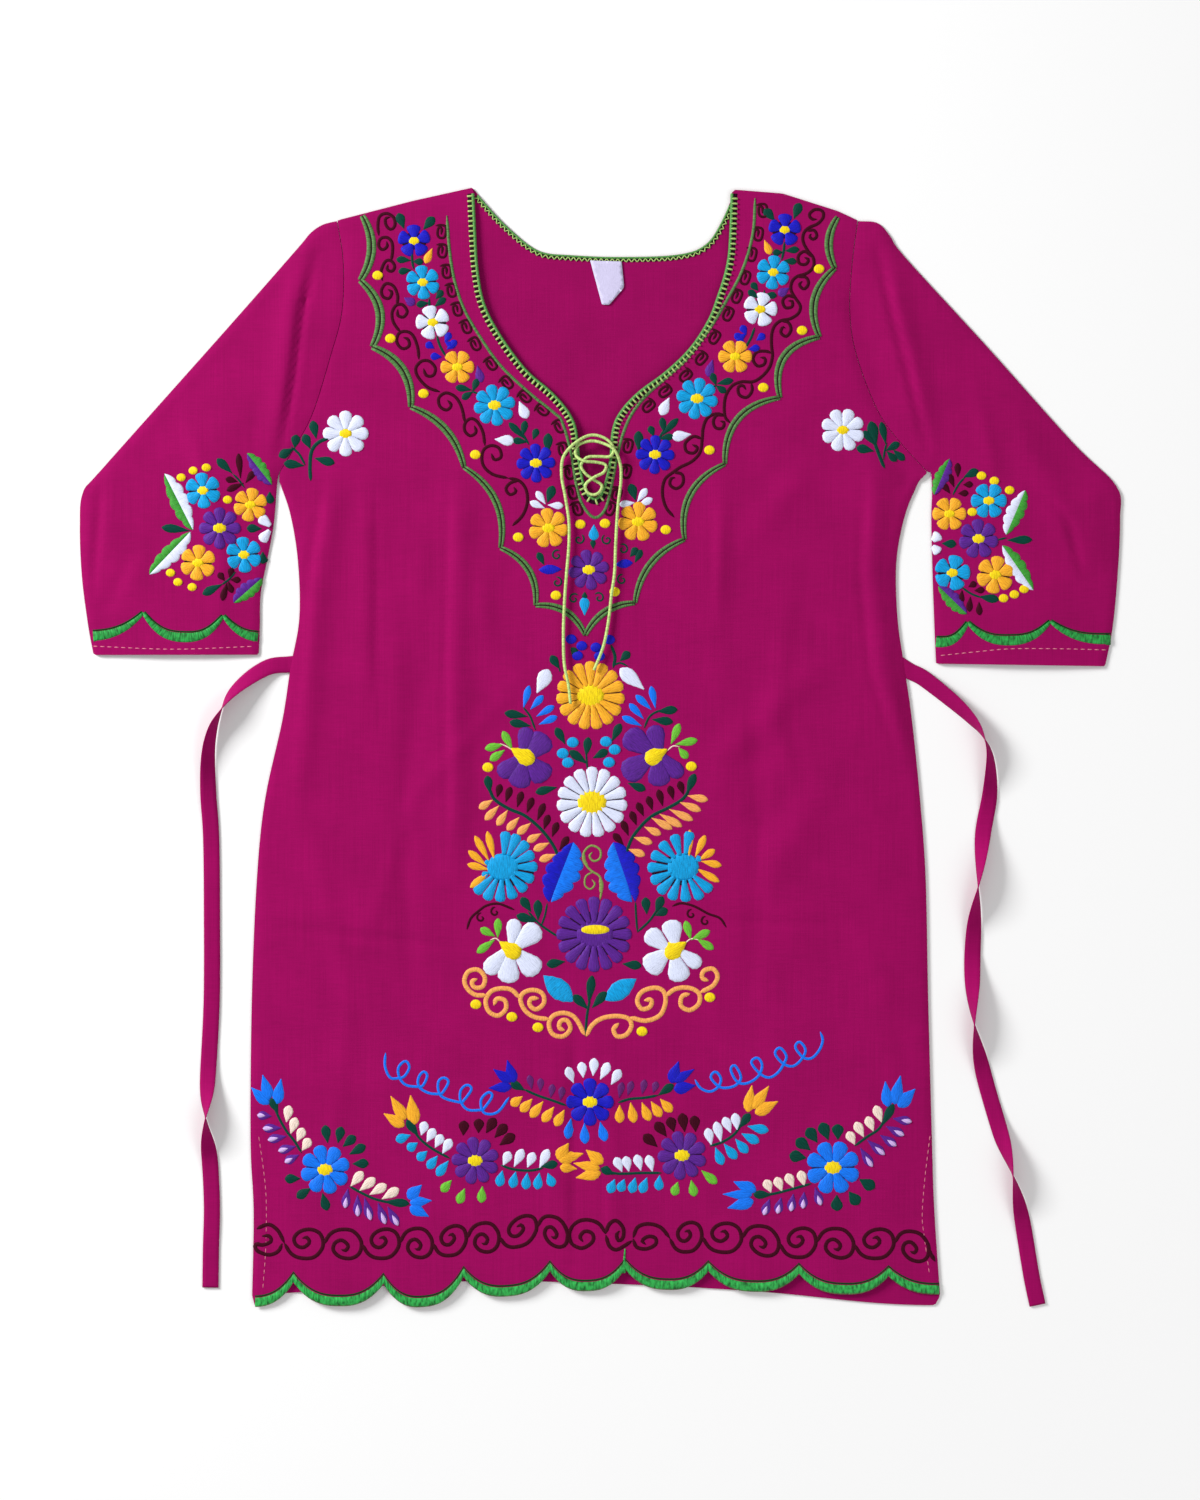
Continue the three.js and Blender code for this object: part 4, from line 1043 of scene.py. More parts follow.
def neck_path():
    left = clipped(edge_of(V_NECK, "left"), Y, high=452)
    right = clipped(edge_of(V_NECK, "right"), Y, high=447)
    return even(np.vstack([left, [SLIT_END], right[::-1]]), 1.0)


def add_neck_trims():
    edge = neck_path()
    stitch("trim", "crochet", even(offset(edge, -1.0), 2.0), 1.3, 1.4)
    # painted shade: a dark band under the crochet, seen between its ticks
    stitch("trim", "shadow", even(offset(edge, -3.4), 2.0), 2.3, 0.4)
    for i in range(2, len(edge) - 2, 4):
        along = directions(edge[i - 1: i + 2])[1]
        outward = np.array([along[1], -along[0]])
        root, tip = edge[i] + 0.8 * outward, edge[i] + 5.6 * outward
        line = np.linspace(root, tip, 4)
        stitch("trim", "crochet_pale", line, np.array([0.8, 1.0, 1.0, 0.8]), 1.5, lengthways=True)


def add_back_trim():
    edge = even(clipped(clipped(BACK_NECK_LINE, X, -101, 104), Y, high=447), 1.1)
    stitch("back", "crochet", even(offset(edge, -0.9), 2.2), 0.9, 1.3)
    # painted shade: a dark band under the crochet, seen between its edge line and zigzag
    stitch("back", "shadow", even(offset(edge, -2.7), 2.2), 1.7, 0.4)
    inner, outer = offset(edge, -4.4), offset(edge, -1.4)
    zigzag = np.array([(inner if i % 4 == 0 else outer)[i] for i in range(0, len(edge), 2)])
    stitch("back", "crochet_pale", even(zigzag, 1.5), 0.6, 0.95)


add_yoke_lines()
add_hem_border()
add_cuff_borders()
add_dashed_lines()
add_neck_trims()
add_back_trim()

# ------------------------------------------------------------------ ties

TIE_WIDTH = 13.0
TIE_THICK = 1.0
TIE_CLEARANCE = 0.02  # lowest that a tie lies over the floor
TIES = {  # x, y, how far the ribbon has turned over, in degrees
    "left": [
        (-238.5, 69.4, 0), (-249.3, 68.4, 0), (-264, 66.6, 10), (-280, 57.6, 28), (-294.4, 44.8, 55),
        (-303, 31, 90), (-309.5, 16, 120), (-313, -4, 142), (-313.2, -34, 165), (-311, -70, 178),
        (-310.4, -130, 180), (-310.6, -200, 180), (-313.6, -262, 190), (-314.9, -296, 270),
        (-312, -328, 350), (-310.4, -365, 360), (-311.2, -400, 360), (-311.6, -430, 360),
    ],
    "right": [
        (236, 70.5, 0), (248, 63, 0), (259.2, 57, 8), (282.4, 38.4, 30), (297, 24, 56), (306, 11, 90),
        (311.5, -6, 122), (311.5, -36, 165), (306, -68, 200), (302.2, -106.4, 270), (299, -140, 338),
        (297.6, -180, 378), (298.6, -216.8, 450), (306, -256, 530), (319, -302, 550),
        (329.1, -337.6, 630), (337.6, -376, 710), (345, -420, 720), (350, -444, 720),
    ],
}
TIE_SECTION = (  # across and up, as shares of the half-width and half-thickness
    (-1, 0), (-0.94, 0.8), (-0.5, 1), (0, 1), (0.5, 1), (0.94, 0.8),
    (1, 0), (0.94, -0.8), (0.5, -1), (0, -1), (-0.5, -1), (-0.94, -0.8),
)


class TieFrame:
    """Places on a tie: along its line, across its width and up from its middle."""

    def __init__(self, rows):
        self.line = smooth([row[:2] for row in rows], 14)
        self.roll = np.radians(smooth([(i, row[2]) for i, row in enumerate(rows)], 14)[:, 1])
        self.along = directions(self.line)
        self.length = step_lengths(self.line).cumsum()[-1]

    def places(self, across, up):
        """One place for each station of the line."""
        sine, cosine = np.sin(self.roll), np.cos(self.roll)
        middle = (TIE_WIDTH * np.abs(sine) + TIE_THICK * np.abs(cosine)) / 2
        sideways = across * cosine - up * sine
        height = middle + across * sine + up * cosine
        plan = self.line + leftward(self.along) * sideways[:, None]
        return np.column_stack([plan, np.maximum(height, TIE_CLEARANCE)])


def add_tie(side):
    ribbon = TieFrame(TIES[side])
    half, thick = TIE_WIDTH / 2, TIE_THICK / 2
    edges = [ribbon.places(u * half, v * thick) for u, v in TIE_SECTION]
    vertices = np.stack(edges, axis=1).reshape(-1, 3)
    name = f"waist_tie_{side}"
    mesh = new_mesh(name, vertices, ring_faces(len(ribbon.line), len(TIE_SECTION)))
    mesh.validate()
    tie = finish_piece(name, mesh, "cotton")
    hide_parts(f"tie_{side}")


for tie_side in ("left", "right"):
    add_tie(tie_side)

# ------------------------------------------------------------------ label

LABEL = [(-7.9, 391.4), (17.3, 390.6), (19.2, 371.6), (18.6, 369), (7.4, 356), (1.6, 356)]
LABEL_TOP = 1.75
LABEL_THICK = 0.35


def add_label():
    def height(x, y):
        return LABEL_TOP + 0.12 * np.sin(x / 5.0) * smoothstep(388 - y, 0, 20)

    vertices, faces = sheet_parts(np.array(LABEL), height, LABEL_THICK, spacing=2.5, edge_spacing=1.5)
    label = thread_piece("care_label_blank", vertices, faces, vertices[:, :2], "label")
    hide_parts("care_label")


add_label()

# ------------------------------------------------------------------ embroidery: shared figures


def drops(region, colour, width, *rows):
    """Drops of one colour: rows of pointed end x, y and round end x, y on the drawing."""
    for ax, ay, bx, by in rows:
        drop(region, colour, (ax, ay), (bx, by), width)


def petals(region, colour, *rows):
    """Petals of one colour: rows of root x, y, tip x, y and width."""
    for ax, ay, bx, by, width in rows:
        patch(region, colour, (ax, ay), (bx, by), width, petal_profile, 0.85)


def dots(region, colour, radius, *places):
    for x, y in places:
        button(region, colour, x, y, radius, 0.9)


def curl(region, colour, x, y, radius, start, clockwise=False, turns=1.15, width=2.2):
    places = spiral_places(x, y, radius, turns, start, clockwise)
    stem(region, colour, places, width, steps=3, spacing=1.2)


def half_leaf(region, colour, base, tip, width, lobes=5):
    """The half of a leaf to the left of the way from its base to its tip, with a lobed edge."""
    a, b = at(*base), at(*tip)
    t = np.linspace(0, 1, 6 * lobes + 1)
    along = b - a
    side = np.array([-along[1], along[0]]) / np.linalg.norm(along)
    lobed = 0.76 + 0.24 * np.abs(np.sin(lobes * math.pi * t)) ** 0.7
    reach = width * UNIT * np.sin(math.pi * t**0.85) ** 0.75 * lobed
    overlap = 0.1 * reach
    line = a + along * t[:, None] + side * (reach / 2 - overlap)[:, None]
    stitch(region, colour, line, reach / 2 + overlap, 0.8, across=np.tile(side, (len(t), 1)))


def square_curl(region, x, y, lean, size=(11.0, 13.0)):
    """A small upright spiral with square shoulders."""
    angle = math.radians(lean)
    across = np.array([math.cos(angle), math.sin(angle)]) * size[0] / 2
    down = np.array([-math.sin(angle), math.cos(angle)]) * size[1] / 2
    spots = [(0.2, 0.45), (0.25, -0.5), (-0.35, -0.55), (-0.45, 0.5), (0.1, 1.0), (0.9, 0.75),
             (1.0, -0.7), (0.2, -1.0), (-0.9, -0.85)]
    places = [tuple(np.array([x, y]) + u * across + v * down) for u, v in spots]
    stem(region, "brown", places, 3.3, 0.45, steps=4, spacing=1.2)


# ------------------------------------------------------------------ embroidery of the yoke

YOKE_PAIRS = (  # colour, petals, radius, turn, left x, y, right x, y
    ("royal", 5, 16.5, 92, 414.3, 241.5, 784.5, 230.5),
    ("turquoise", 6, 17.2, 95, 423, 283, 773, 273),
    ("white", 5, 17.2, 105, 433, 323, 760, 310),
    ("orange", 6, 17, 120, 457.5, 367.5, 735, 357),
    ("turquoise", 8, 21, 100, 494.7, 405.7, 697, 399),
    ("royal", 8, 19.6, 92, 536, 463.5, 655, 455),
    ("orange", 7, 20, 95, 548.5, 528.3, 638, 522),
)
VINES = {  # the brown vines' stretches and curls, from the shoulder down
    "yoke_left": (
        ((379, 236), (378, 226), (380, 216.5), (387.5, 214), (394, 218.3), (395, 226), (391, 230),
         (386.4, 226), (385.5, 219.2), (390.3, 217.5)),
        ((391.2, 262), (392.7, 252.7), (392.2, 243), (387.4, 238), (380.7, 239.3), (378.8, 246),
         (382.6, 250.4), (387.4, 247), (386.8, 242)),
        ((382.6, 281.4), (381.3, 272), (385.5, 262.2), (391.2, 261.3), (395, 267), (392.2, 272),
         (387.4, 270), (388.3, 265)),
        ((397, 306), (398, 296.7), (394, 287), (386.4, 284.2), (381.6, 291), (383.6, 297.6),
         (389.3, 299), (392.2, 293), (388.3, 290)),
        ((400.8, 333), (394, 323.5), (392.2, 314), (396, 306.2), (402.7, 305.3), (407.5, 312),
         (403.6, 317.7), (398, 315.8), (398, 310)),
        ((419, 359.8), (418, 348.3), (413.2, 336), (406.5, 332), (399, 334), (397, 342.6),
         (402.7, 349.3), (409.4, 346.4), (408.4, 340), (403.6, 338)),
        ((440, 392.3), (427.6, 387.5), (418, 377), (416, 368.4), (421.8, 361.7), (429.5, 361.7),
         (435.6, 368.4), (433.3, 376), (426.6, 376), (423.7, 369)),
        ((465, 423), (462, 408.6), (456.2, 398), (446.7, 393.3), (439, 398), (440, 406.7),
         (446.7, 410.5), (451.5, 405.7), (447.6, 400.5)),
        ((485, 446), (483, 432.5), (477.3, 422), (470.6, 419), (465, 424), (465, 431.5),
         (470.6, 436.3), (476.3, 432.5), (474.4, 426)),
        ((508, 478.5), (492.6, 474.6), (483, 465), (483, 451.6), (490.7, 446), (499.3, 448.7),
         (501.2, 457.4), (494.5, 460.2), (491.6, 454)),
        ((508, 478.5), (519, 481), (526, 489.5), (527.4, 503), (522.5, 516), (512.5, 526)),
        ((519, 481), (511, 483), (506, 489), (510, 495), (516, 492), (514, 487.5)),
    ),
    "yoke_right": (
        ((816.6, 219.6), (812, 219.6), (809, 215), (814.7, 210), (822, 211.3), (823, 217.7),
         (817.5, 224.2), (809, 228), (803.6, 233.4), (802.7, 241.8), (807.3, 251), (813, 258.4),
         (813, 267.6), (806.4, 274), (797, 277), (791.6, 282.4), (790.7, 290.8), (795.3, 299),
         (800, 306.5), (798, 314), (789.8, 319.4), (780.5, 321.3), (774, 326.8), (771.3, 336),
         (771.3, 347), (772.2, 356.4), (769.4, 367.5), (762, 376.7), (752.8, 382.3), (741.7, 382.3),
         (732.4, 386), (726, 395.2), (724, 406.3), (725, 417.4), (730, 423.5)),
        ((723.2, 414.6), (714, 414.6), (706.6, 419.2), (703, 428.5), (702, 439.6), (700, 452.5),
         (691.8, 461.8), (680.7, 467.3), (672.9, 472.7), (664.7, 479.8), (662.2, 493),
         (665.7, 507.3), (674, 517.6)),
        ((806.4, 231.6), (813.8, 230.7), (816.6, 236.2), (813, 240), (809.2, 237), (811, 234.4)),
        ((813, 258.4), (804.5, 252), (798, 256.6), (799, 264), (805.5, 265), (808.2, 260.3),
         (804, 258)),
        ((797, 277.8), (805.5, 277.8), (808.2, 284.3), (803.6, 289.8), (799, 285.2), (802, 282)),
        ((795.3, 299), (788, 296.3), (782.4, 301), (785, 308.3), (791.6, 307.4), (792, 302),
         (788, 301.5)),
        ((780.5, 321.6), (788, 323), (790.7, 330.5), (786, 337), (780.5, 333.3), (782.4, 327.7),
         (785, 328.7)),
        ((771.6, 354), (765.7, 351.8), (756.5, 352.7), (752.8, 360), (757.4, 366.6), (764, 364.7),
         (764.8, 359), (760, 358)),
        ((751, 383.2), (751.8, 391.5), (746.3, 398), (739, 395.2), (738, 387.8), (742.6, 386),
         (745.5, 390)),
        ((724, 416.5), (716.7, 415.5), (713, 422), (715.8, 428.5), (722.3, 428.5), (724, 423),
         (720, 421.5)),
        ((702, 439.6), (693.6, 436.8), (685.3, 443.3), (686.2, 451.6), (693.6, 453.5), (697.3, 448),
         (692, 445)),
        ((672.9, 472.7), (682, 474.7), (682.7, 484), (676, 489), (669.8, 485), (671, 479), (675, 478)),
    ),
}
INNER_CURLS = {  # x, y, lean
    "yoke_left": (
        (440.3, 232, 4), (441, 251.3, 4), (445.3, 272, -4), (450.3, 291, -10), (456, 310, -14),
        (465, 327.6, -20), (474, 345, -28), (490, 365, -35), (505.8, 384, -42), (524, 398, -48),
        (541.5, 411.3, -52), (558, 427.4, -30), (561.4, 449.8, -10), (568, 473, -10), (571.3, 493, -14),
        (576, 509.5, -20),
    ),
    "yoke_right": (
        (761, 211, -4), (756.5, 234.4, 6), (750, 254.7, 10), (743.5, 277.8, 16), (735.2, 296.3, 20),
        (726.5, 314, 24), (713, 337, 30), (700, 358, 38), (684.4, 375, 45), (664, 390.6, 50),
        (647.4, 405.4, 45), (626.3, 446, 10), (625, 471.6, 10), (615, 494, 14), (608.6, 508.4, 20),
    ),
}
YOKE_DROPS = (  # colour, width, and x, y of each pointed and round end on the left
    ("green", 10, ((404, 229, 398.5, 213.5), (423.5, 230, 434.5, 217.5), (547.3, 454, 548.5, 433.5),
     (547.3, 503, 553.5, 486))),
    ("green", 7.5, ((411, 261, 396.5, 260), (411.5, 270.5, 398.5, 272.5), (413, 262, 423.5, 262.5),
     (436, 299.5, 443, 291), (435, 307, 446, 298.5), (429, 303.5, 416.5, 305.5),
     (472.7, 392, 478, 379), (472, 390.5, 455.5, 387.5), (473, 392, 462, 399.5),
     (525.7, 440, 509, 423), (522.4, 437, 525.7, 421), (533, 440, 537.5, 429),
     (527.4, 442.5, 512.5, 440.6), (544, 565, 538, 552.5))),
    ("orange", 8, ((432.5, 249, 425.5, 264),)),
    ("purple", 9.5, ((404.5, 298.3, 415, 305), (477.6, 366, 481.5, 383))),
    ("royal", 8, ((445, 343, 450.5, 333), (447, 350, 457, 341), (434.5, 349, 426, 343.5),
     (442, 357.5, 430.5, 356.5), (445, 342, 455, 348))),
    ("white", 11, ((519.5, 402, 527, 419), (495, 439.7, 514.5, 441.5))),
    ("white", 7.5, ((545.5, 504.5, 536.5, 491.5), (545, 508.6, 530, 502), (548, 505.3, 563.5, 506.3))),
)
YOKE_STEMS = (  # places along each, on the left
    ((412, 252), (412.5, 262), (414, 270)),
    ((429.5, 299), (429.5, 309)),
    ((437, 336), (440, 346), (446, 357)),
    ((472, 392), (478, 394)),
    ((522, 433), (529, 445)),
)
YOKE_DOTS = {
    "yoke_left": ((378, 276), (390.7, 339), (423.7, 394), (475.5, 455), (518.3, 537.5),
                  (556, 595.5), (580.3, 524.5)),
    "yoke_right": ((818.8, 269.5), (801.8, 331), (763, 388), (709.3, 450.5), (665.7, 530), (614.7, 592),
                   (605, 523.7)),
}


def yoke_mirror(x, y):
    """The place on the right that answers to one on the left of the yoke."""
    axis = 601.5 - (y - 190) * 0.0312
    from_axis = axis - x
    return axis + from_axis * 0.985, y - 0.05 * from_axis


def add_yoke_sprigs(region, place):
    """The small stitches of one side. place turns a place on the left into one on that side."""
    for colour, width, rows in YOKE_DROPS:
        drops(region, colour, width, *[place(ax, ay) + place(bx, by) for ax, ay, bx, by in rows])
    for line in YOKE_STEMS:
        stem(region, "green", [place(*p) for p in line], 3.2)
    dots(region, "yellow", 5.3, *YOKE_DOTS[region])
    for line in VINES[region]:
        stem(region, "brown", line, 4.0, 0.45, steps=4)
    for x, y, lean in INNER_CURLS[region]:
        square_curl(region, x, y, lean)


def add_yoke_point():
    """What lies round the yoke's middle flower, down to its tip."""
    flower("yoke_middle", "purple", 588.8, 570, 20.5, 8, turn=100)
    drops("yoke_middle", "turquoise", 10.5, (594, 525, 593.7, 541), (584.6, 615.5, 584.6, 597))
    drops("yoke_middle", "green", 6, (593, 549, 593, 540), (584.8, 592, 584.6, 599))
    leaf("yoke_middle", "royal", (538.5, 570), (562, 569.5), 12)
    leaf("yoke_middle", "royal", (633, 563), (615, 565), 11)
    drops("yoke_middle", "green", 8, (630, 557, 637.5, 548))
    for x, y, start, clockwise in (
        (557, 555.5, 60, False), (579, 539.5, 60, True), (557, 582.5, 100, True), (574, 599, 40, False),
        (607, 540, 120, False), (623, 549.5, 120, True), (622, 580, 80, False), (599, 598, 140, True),
    ):
        curl("yoke_middle", "green", x, y, 5.5, start, clockwise)


def add_yoke():
    for colour, count, radius, turn, lx, ly, rx, ry in YOKE_PAIRS:
        flower("yoke_left", colour, lx, ly, radius, count, turn=turn)
        flower("yoke_right", colour, rx, ry, radius, count, turn=180 - turn)
    add_yoke_sprigs("yoke_left", lambda x, y: (x, y))
    add_yoke_sprigs("yoke_right", yoke_mirror)
    add_yoke_point()


add_yoke()

# ------------------------------------------------------------------ embroidery of the medallion


def add_medallion_flowers():
    flower("medallion", "orange", 590.5, 695.5, 34.5, 15, core=0.4)
    flower("medallion", "white", 592, 802, 35.6, 15, core=0.42)
    flower("medallion", "purple", 594, 934, 38, 16, centre=None, core=0.45)
    button("medallion", "purple", 595, 934, 19, 1.0, flat=0.85)
    button("medallion", "yellow", 595.3, 929.5, 14.5, 1.6, flat=0.45)
    petals("medallion", "purple", (522, 754, 528, 727, 20), (529, 757, 547, 735, 30),
           (529, 759, 547, 780, 29), (524, 761, 518, 788, 27), (520, 757, 499, 776, 21))
    petals("medallion", "purple", (660, 753, 653.5, 725, 22), (653, 753, 625, 733, 30),
           (653, 756, 623, 776, 30), (657, 758, 660, 786.5, 27), (662, 755, 681.5, 777, 20))
    petals("medallion", "white", (511, 945, 515.5, 918.5, 18), (516, 947, 539.5, 926, 26),
           (516, 951, 538.5, 973, 27), (510, 953, 508, 983, 26), (507, 949, 486, 973, 21))
    petals("medallion", "white", (675, 945, 670.5, 919.5, 24), (668, 949, 646.5, 931, 23),
           (668, 951, 646, 970, 28), (674, 954, 681, 981.5, 26), (679, 950, 700.5, 966, 18))
    for root, tip in (((511.5, 748.5), (534.5, 762.5)), ((667, 749.5), (645, 761.5)),
                      ((500, 941.5), (520.5, 956.5)), ((686, 942), (665, 956.5))):
        patch("medallion", "yellow", root, tip, 22, drop_profile, 1.6)


def add_medallion_buds():
    dots("medallion", "royal", 5.6, (571.2, 639.3), (581.8, 646), (577.6, 655.8),
         (609.5, 639.8), (596, 647.5), (599.5, 656.3))
    dots("medallion", "turquoise", 6, (572.8, 742.4), (562.8, 753.4), (568, 762.6),
         (606, 741.6), (614.7, 749.6), (609, 762.3))
    dots("medallion", "yellow", 5.5, (488, 767.3), (691.2, 766.3), (476, 1004), (512, 1016.5),
         (538, 1027), (641.9, 1031), (709.7, 997))
    drops("medallion", "white", 15, (537, 693, 549, 669.5), (644, 689.5, 620, 668.5))
    drops("medallion", "blue", 7.5, (523.5, 708, 529.5, 685.5), (530.5, 709.5, 543.5, 695.5),
          (536.5, 716.5, 554.5, 706), (539, 724.5, 557.5, 716.5), (655.4, 708.5, 651, 686),
          (651.5, 710, 635.7, 695), (643.5, 719, 629.3, 703.5), (641.5, 726, 622, 716.5))
    leafy = [(512.5, 750, 503, 731), (504, 744.5, 485, 748.8), (505, 750, 490, 760.5)]
    sprig = [(497.8, 937.5, 498.3, 918), (495, 936, 480.5, 928), (495, 939.5, 477, 952.5)]
    right = [(671, 744, 679.5, 723.5), (675.5, 744.5, 697.5, 740), (678.5, 747.5, 687.5, 758.5),
             (690.5, 939.5, 685.5, 920.5), (691, 939.5, 710, 930.5), (697, 938.5, 713.5, 949)]
    drops("medallion", "lime", 8.3, *leafy, *sprig, *right)
    for line in (
        [(514, 751), (507, 746.5), (500, 743.5)], [(501, 942.5), (496, 938), (490, 940)],
        [(667, 751), (673, 746), (680, 747)], [(684.5, 943.5), (691, 938.5), (700, 940)],
    ):
        stem("medallion", "peach", line, 1.6)


def add_medallion_leaves():
    drops("medallion", "green", 9, (559.5, 669, 551, 655.5), (620, 661, 629.8, 652),
          (572, 655, 576, 648), (527.5, 716.5, 504.5, 713), (531, 726, 509.5, 722),
          (657, 711.5, 677.5, 709.5), (652, 719.5, 673, 722), (565, 744, 556, 727.5),
          (586, 756, 588.6, 737), (587.5, 764, 569.5, 750.5), (612, 741, 620.8, 723.5),
          (593, 758, 608, 750.5), (557, 787.2, 535.5, 792.5), (628, 783, 645.5, 789.8),
          (490, 793, 487.5, 775.5), (686.5, 794, 695, 773.5))
    drops("medallion", "green", 9.5, (531, 911.5, 521.5, 897), (538, 920, 538, 899.5),
          (537, 921.5, 516.5, 915), (646.6, 914, 645.5, 897), (655.5, 912.5, 662.5, 896),
          (655, 915.5, 667.5, 909), (565, 961.3, 546.5, 964.3), (622.5, 963.6, 641.5, 965.5),
          (588.6, 1003, 592.3, 975), (588, 1009, 573.5, 994.5), (592, 1007.5, 606.5, 991.5))
    for line, width in (
        ([(559, 667), (560, 672)], 2.4), ([(611, 645), (615, 657), (613, 668)], 4.0),
        ([(613, 666), (620, 663), (628, 666.5)], 2.4), ([(523, 707), (530, 716), (535.5, 730)], 2.6),
        ([(661, 709.7), (650, 716), (644, 728)], 2.6), ([(586, 752), (587.5, 770)], 2.4),
        ([(489, 787), (494.5, 799), (508.7, 808.5), (524, 815), (536.5, 824.7), (547, 836),
          (555.6, 849.6), (559, 862)], 4.0),
        ([(689, 788), (686, 795), (679.3, 801.4), (666.5, 808.6), (652.2, 815.7), (641, 826),
          (631.5, 838.9), (625.9, 854)], 4.0),
        ([(528, 911), (540, 924), (558, 936.5)], 2.8), ([(547.3, 903), (545, 915), (541, 926)], 2.4),
        ([(658, 908), (649, 921), (637, 932)], 2.8), ([(635.4, 902), (636, 915), (637.2, 931)], 2.6),
        ([(590, 998), (587, 1015), (585.3, 1036)], 3.2),
    ):
        stem("medallion", "green", line, width)
    leaf("medallion", "turquoise", (573, 1001.5), (543.5, 975), 25)
    leaf("medallion", "turquoise", (605, 1000), (636.5, 978.5), 23)


def add_medallion_sprays():
    drops("medallion", "brown", 7.6, (497.2, 797, 500.8, 784), (505.8, 802, 511, 786.8),
          (517.3, 807, 522.3, 791.3), (527, 812.5, 533, 797.3), (537.5, 820, 544.5, 803),
           (544, 829, 549, 814.5),
          (552.2, 836.5, 557.8, 822), (559.4, 850, 568.5, 836.3))
    drops("medallion", "brown", 7.6, (683.3, 794.5, 679, 781), (673, 799.5, 669.4, 785.5),
          (662.5, 806, 658.3, 789.3), (652.2, 810, 647.8, 796), (643.4, 816, 637.4, 802.3),
          (636.2, 825, 631, 811), (628.3, 835.5, 622.3, 820.5), (623.5, 845, 613.3, 833.3))
    drops("medallion", "apricot", 8, (493, 800, 479, 808.5), (499.3, 805.5, 485, 820),
          (508, 810, 497, 825.5), (519.5, 817.2, 507, 830.2), (531, 823, 517.3, 834),
          (541.3, 833.5, 527, 841.5), (549.5, 842.8, 533.5, 850), (556, 854.2, 539.3, 860.3))
    drops("medallion", "apricot", 8, (687.5, 795.6, 708, 800), (679.5, 802, 701, 810.7),
          (669.3, 809.2, 693, 820.2), (659.5, 813.8, 682, 826.6), (651.5, 817.7, 672.3, 829),
          (644.5, 826.8, 661, 834.4), (634, 837.2, 652.3, 843), (628.5, 849, 645, 855.2))
    tips_left = ((506, 831), (518, 834), (528, 842), (534.5, 853.5), (538, 866.6), (534, 880),
                 (526, 891), (514, 899), (500, 902), (486, 900), (475, 893))
    tips_right = ((690, 831), (674, 834), (660.5, 842), (651, 853.5), (647, 867.4), (650.6, 881.5),
                  (658.5, 893), (671, 900), (686, 902), (701, 899.5), (711.5, 891))
    for x, y, lean, tips in ((503, 867, 9, tips_left), (683, 867, -9, tips_right)):
        # painted shade: a dark disc shifted under the fan's petals, seen in the seams between them
        button("medallion", "shadow", x + lean, y + 4, 23, 0.12)
        for tip in tips:
            root = (x + 0.36 * (tip[0] - x), y + 0.36 * (tip[1] - y))
            patch("medallion", "turquoise", root, tip, 12.6, blunt_petal_profile, 0.85)
        button("medallion", "turquoise", x, y, 16, 0.85)
    drops("medallion", "turquoise", 7, (490, 866, 486, 860), (490, 872, 482, 876), (695, 861, 701, 857))
    drops("medallion", "orange", 7.6, (494.5, 860, 487.5, 831), (489.5, 861.5, 475, 835.5),
          (487, 865.8, 468.5, 850.5), (489.5, 869.7, 467.5, 864), (489.5, 872, 470.3, 887.5))
    drops("medallion", "orange", 7.6, (688.9, 857, 689.8, 829.5), (695, 857, 705.3, 835),
          (698.5, 860, 715, 849.5), (701, 861, 721.5, 865.5), (696, 868, 719.3, 881.8))
    half_leaf("medallion", "royal", (549, 902), (573.5, 842), 18)
    half_leaf("medallion", "blue", (573.5, 842), (551, 902), 21)
    half_leaf("medallion", "blue", (632, 902), (613.3, 842), 21)
    half_leaf("medallion", "royal", (613.3, 842), (635, 902), 18)


SCROLLS = (  # the orange scroll under the medallion, from its tip outwards
    ((585, 1035), (576, 1018.5), (566, 1012.8), (554.5, 1014.6), (549, 1022.8), (552.5, 1033.5),
     (563, 1036), (570.5, 1028.5), (567, 1020), (560.5, 1021), (559.5, 1027.5), (565, 1030)),
    ((549.5, 1018.8), (535.5, 1017), (526, 1011), (520.8, 1001), (523, 993), (533, 989.6),
     (542.6, 993.3), (544, 1002.8), (536.5, 1009), (530, 1005), (531, 998.5), (539, 998)),
    ((520, 998), (512.5, 990), (503, 988), (492, 990.5), (486, 999.5), (488.5, 1010.5), (498, 1015.3),
     (506, 1008.7), (505, 1000), (497, 998.5), (494, 1005)),
    ((487, 994.8), (475.5, 994.5), (467, 987.6), (464.7, 979), (469, 971), (478.5, 969.5), (485, 977),
     (483, 986), (475, 987.2), (472, 981.5), (477.5, 978.5)),
    ((586, 1036), (592, 1025), (602, 1018), (616, 1015.7), (628, 1018), (631.5, 1025.5), (626, 1034.5),
     (617, 1035.8), (613.6, 1028.7), (619, 1022.8)),
    ((630, 1016.8), (645.5, 1020.4), (660, 1014.8), (665.5, 1001.6), (663.5, 991), (654.9, 987.4),
     (642.5, 991), (637.2, 1000), (641.5, 1008.5), (650, 1006.5), (651.3, 999.5), (644, 1000)),
    ((665.5, 996), (675, 988.8), (688, 987.4), (698.5, 992.5), (699, 1002.8), (690, 1009.8),
     (681, 1005.5), (682, 996), (690, 993.5)),
    ((700, 992), (712.7, 985.5), (717.5, 976), (712.7, 968.5), (703.8, 970.5), (702, 977.5),
     (708.5, 980.5)),
)


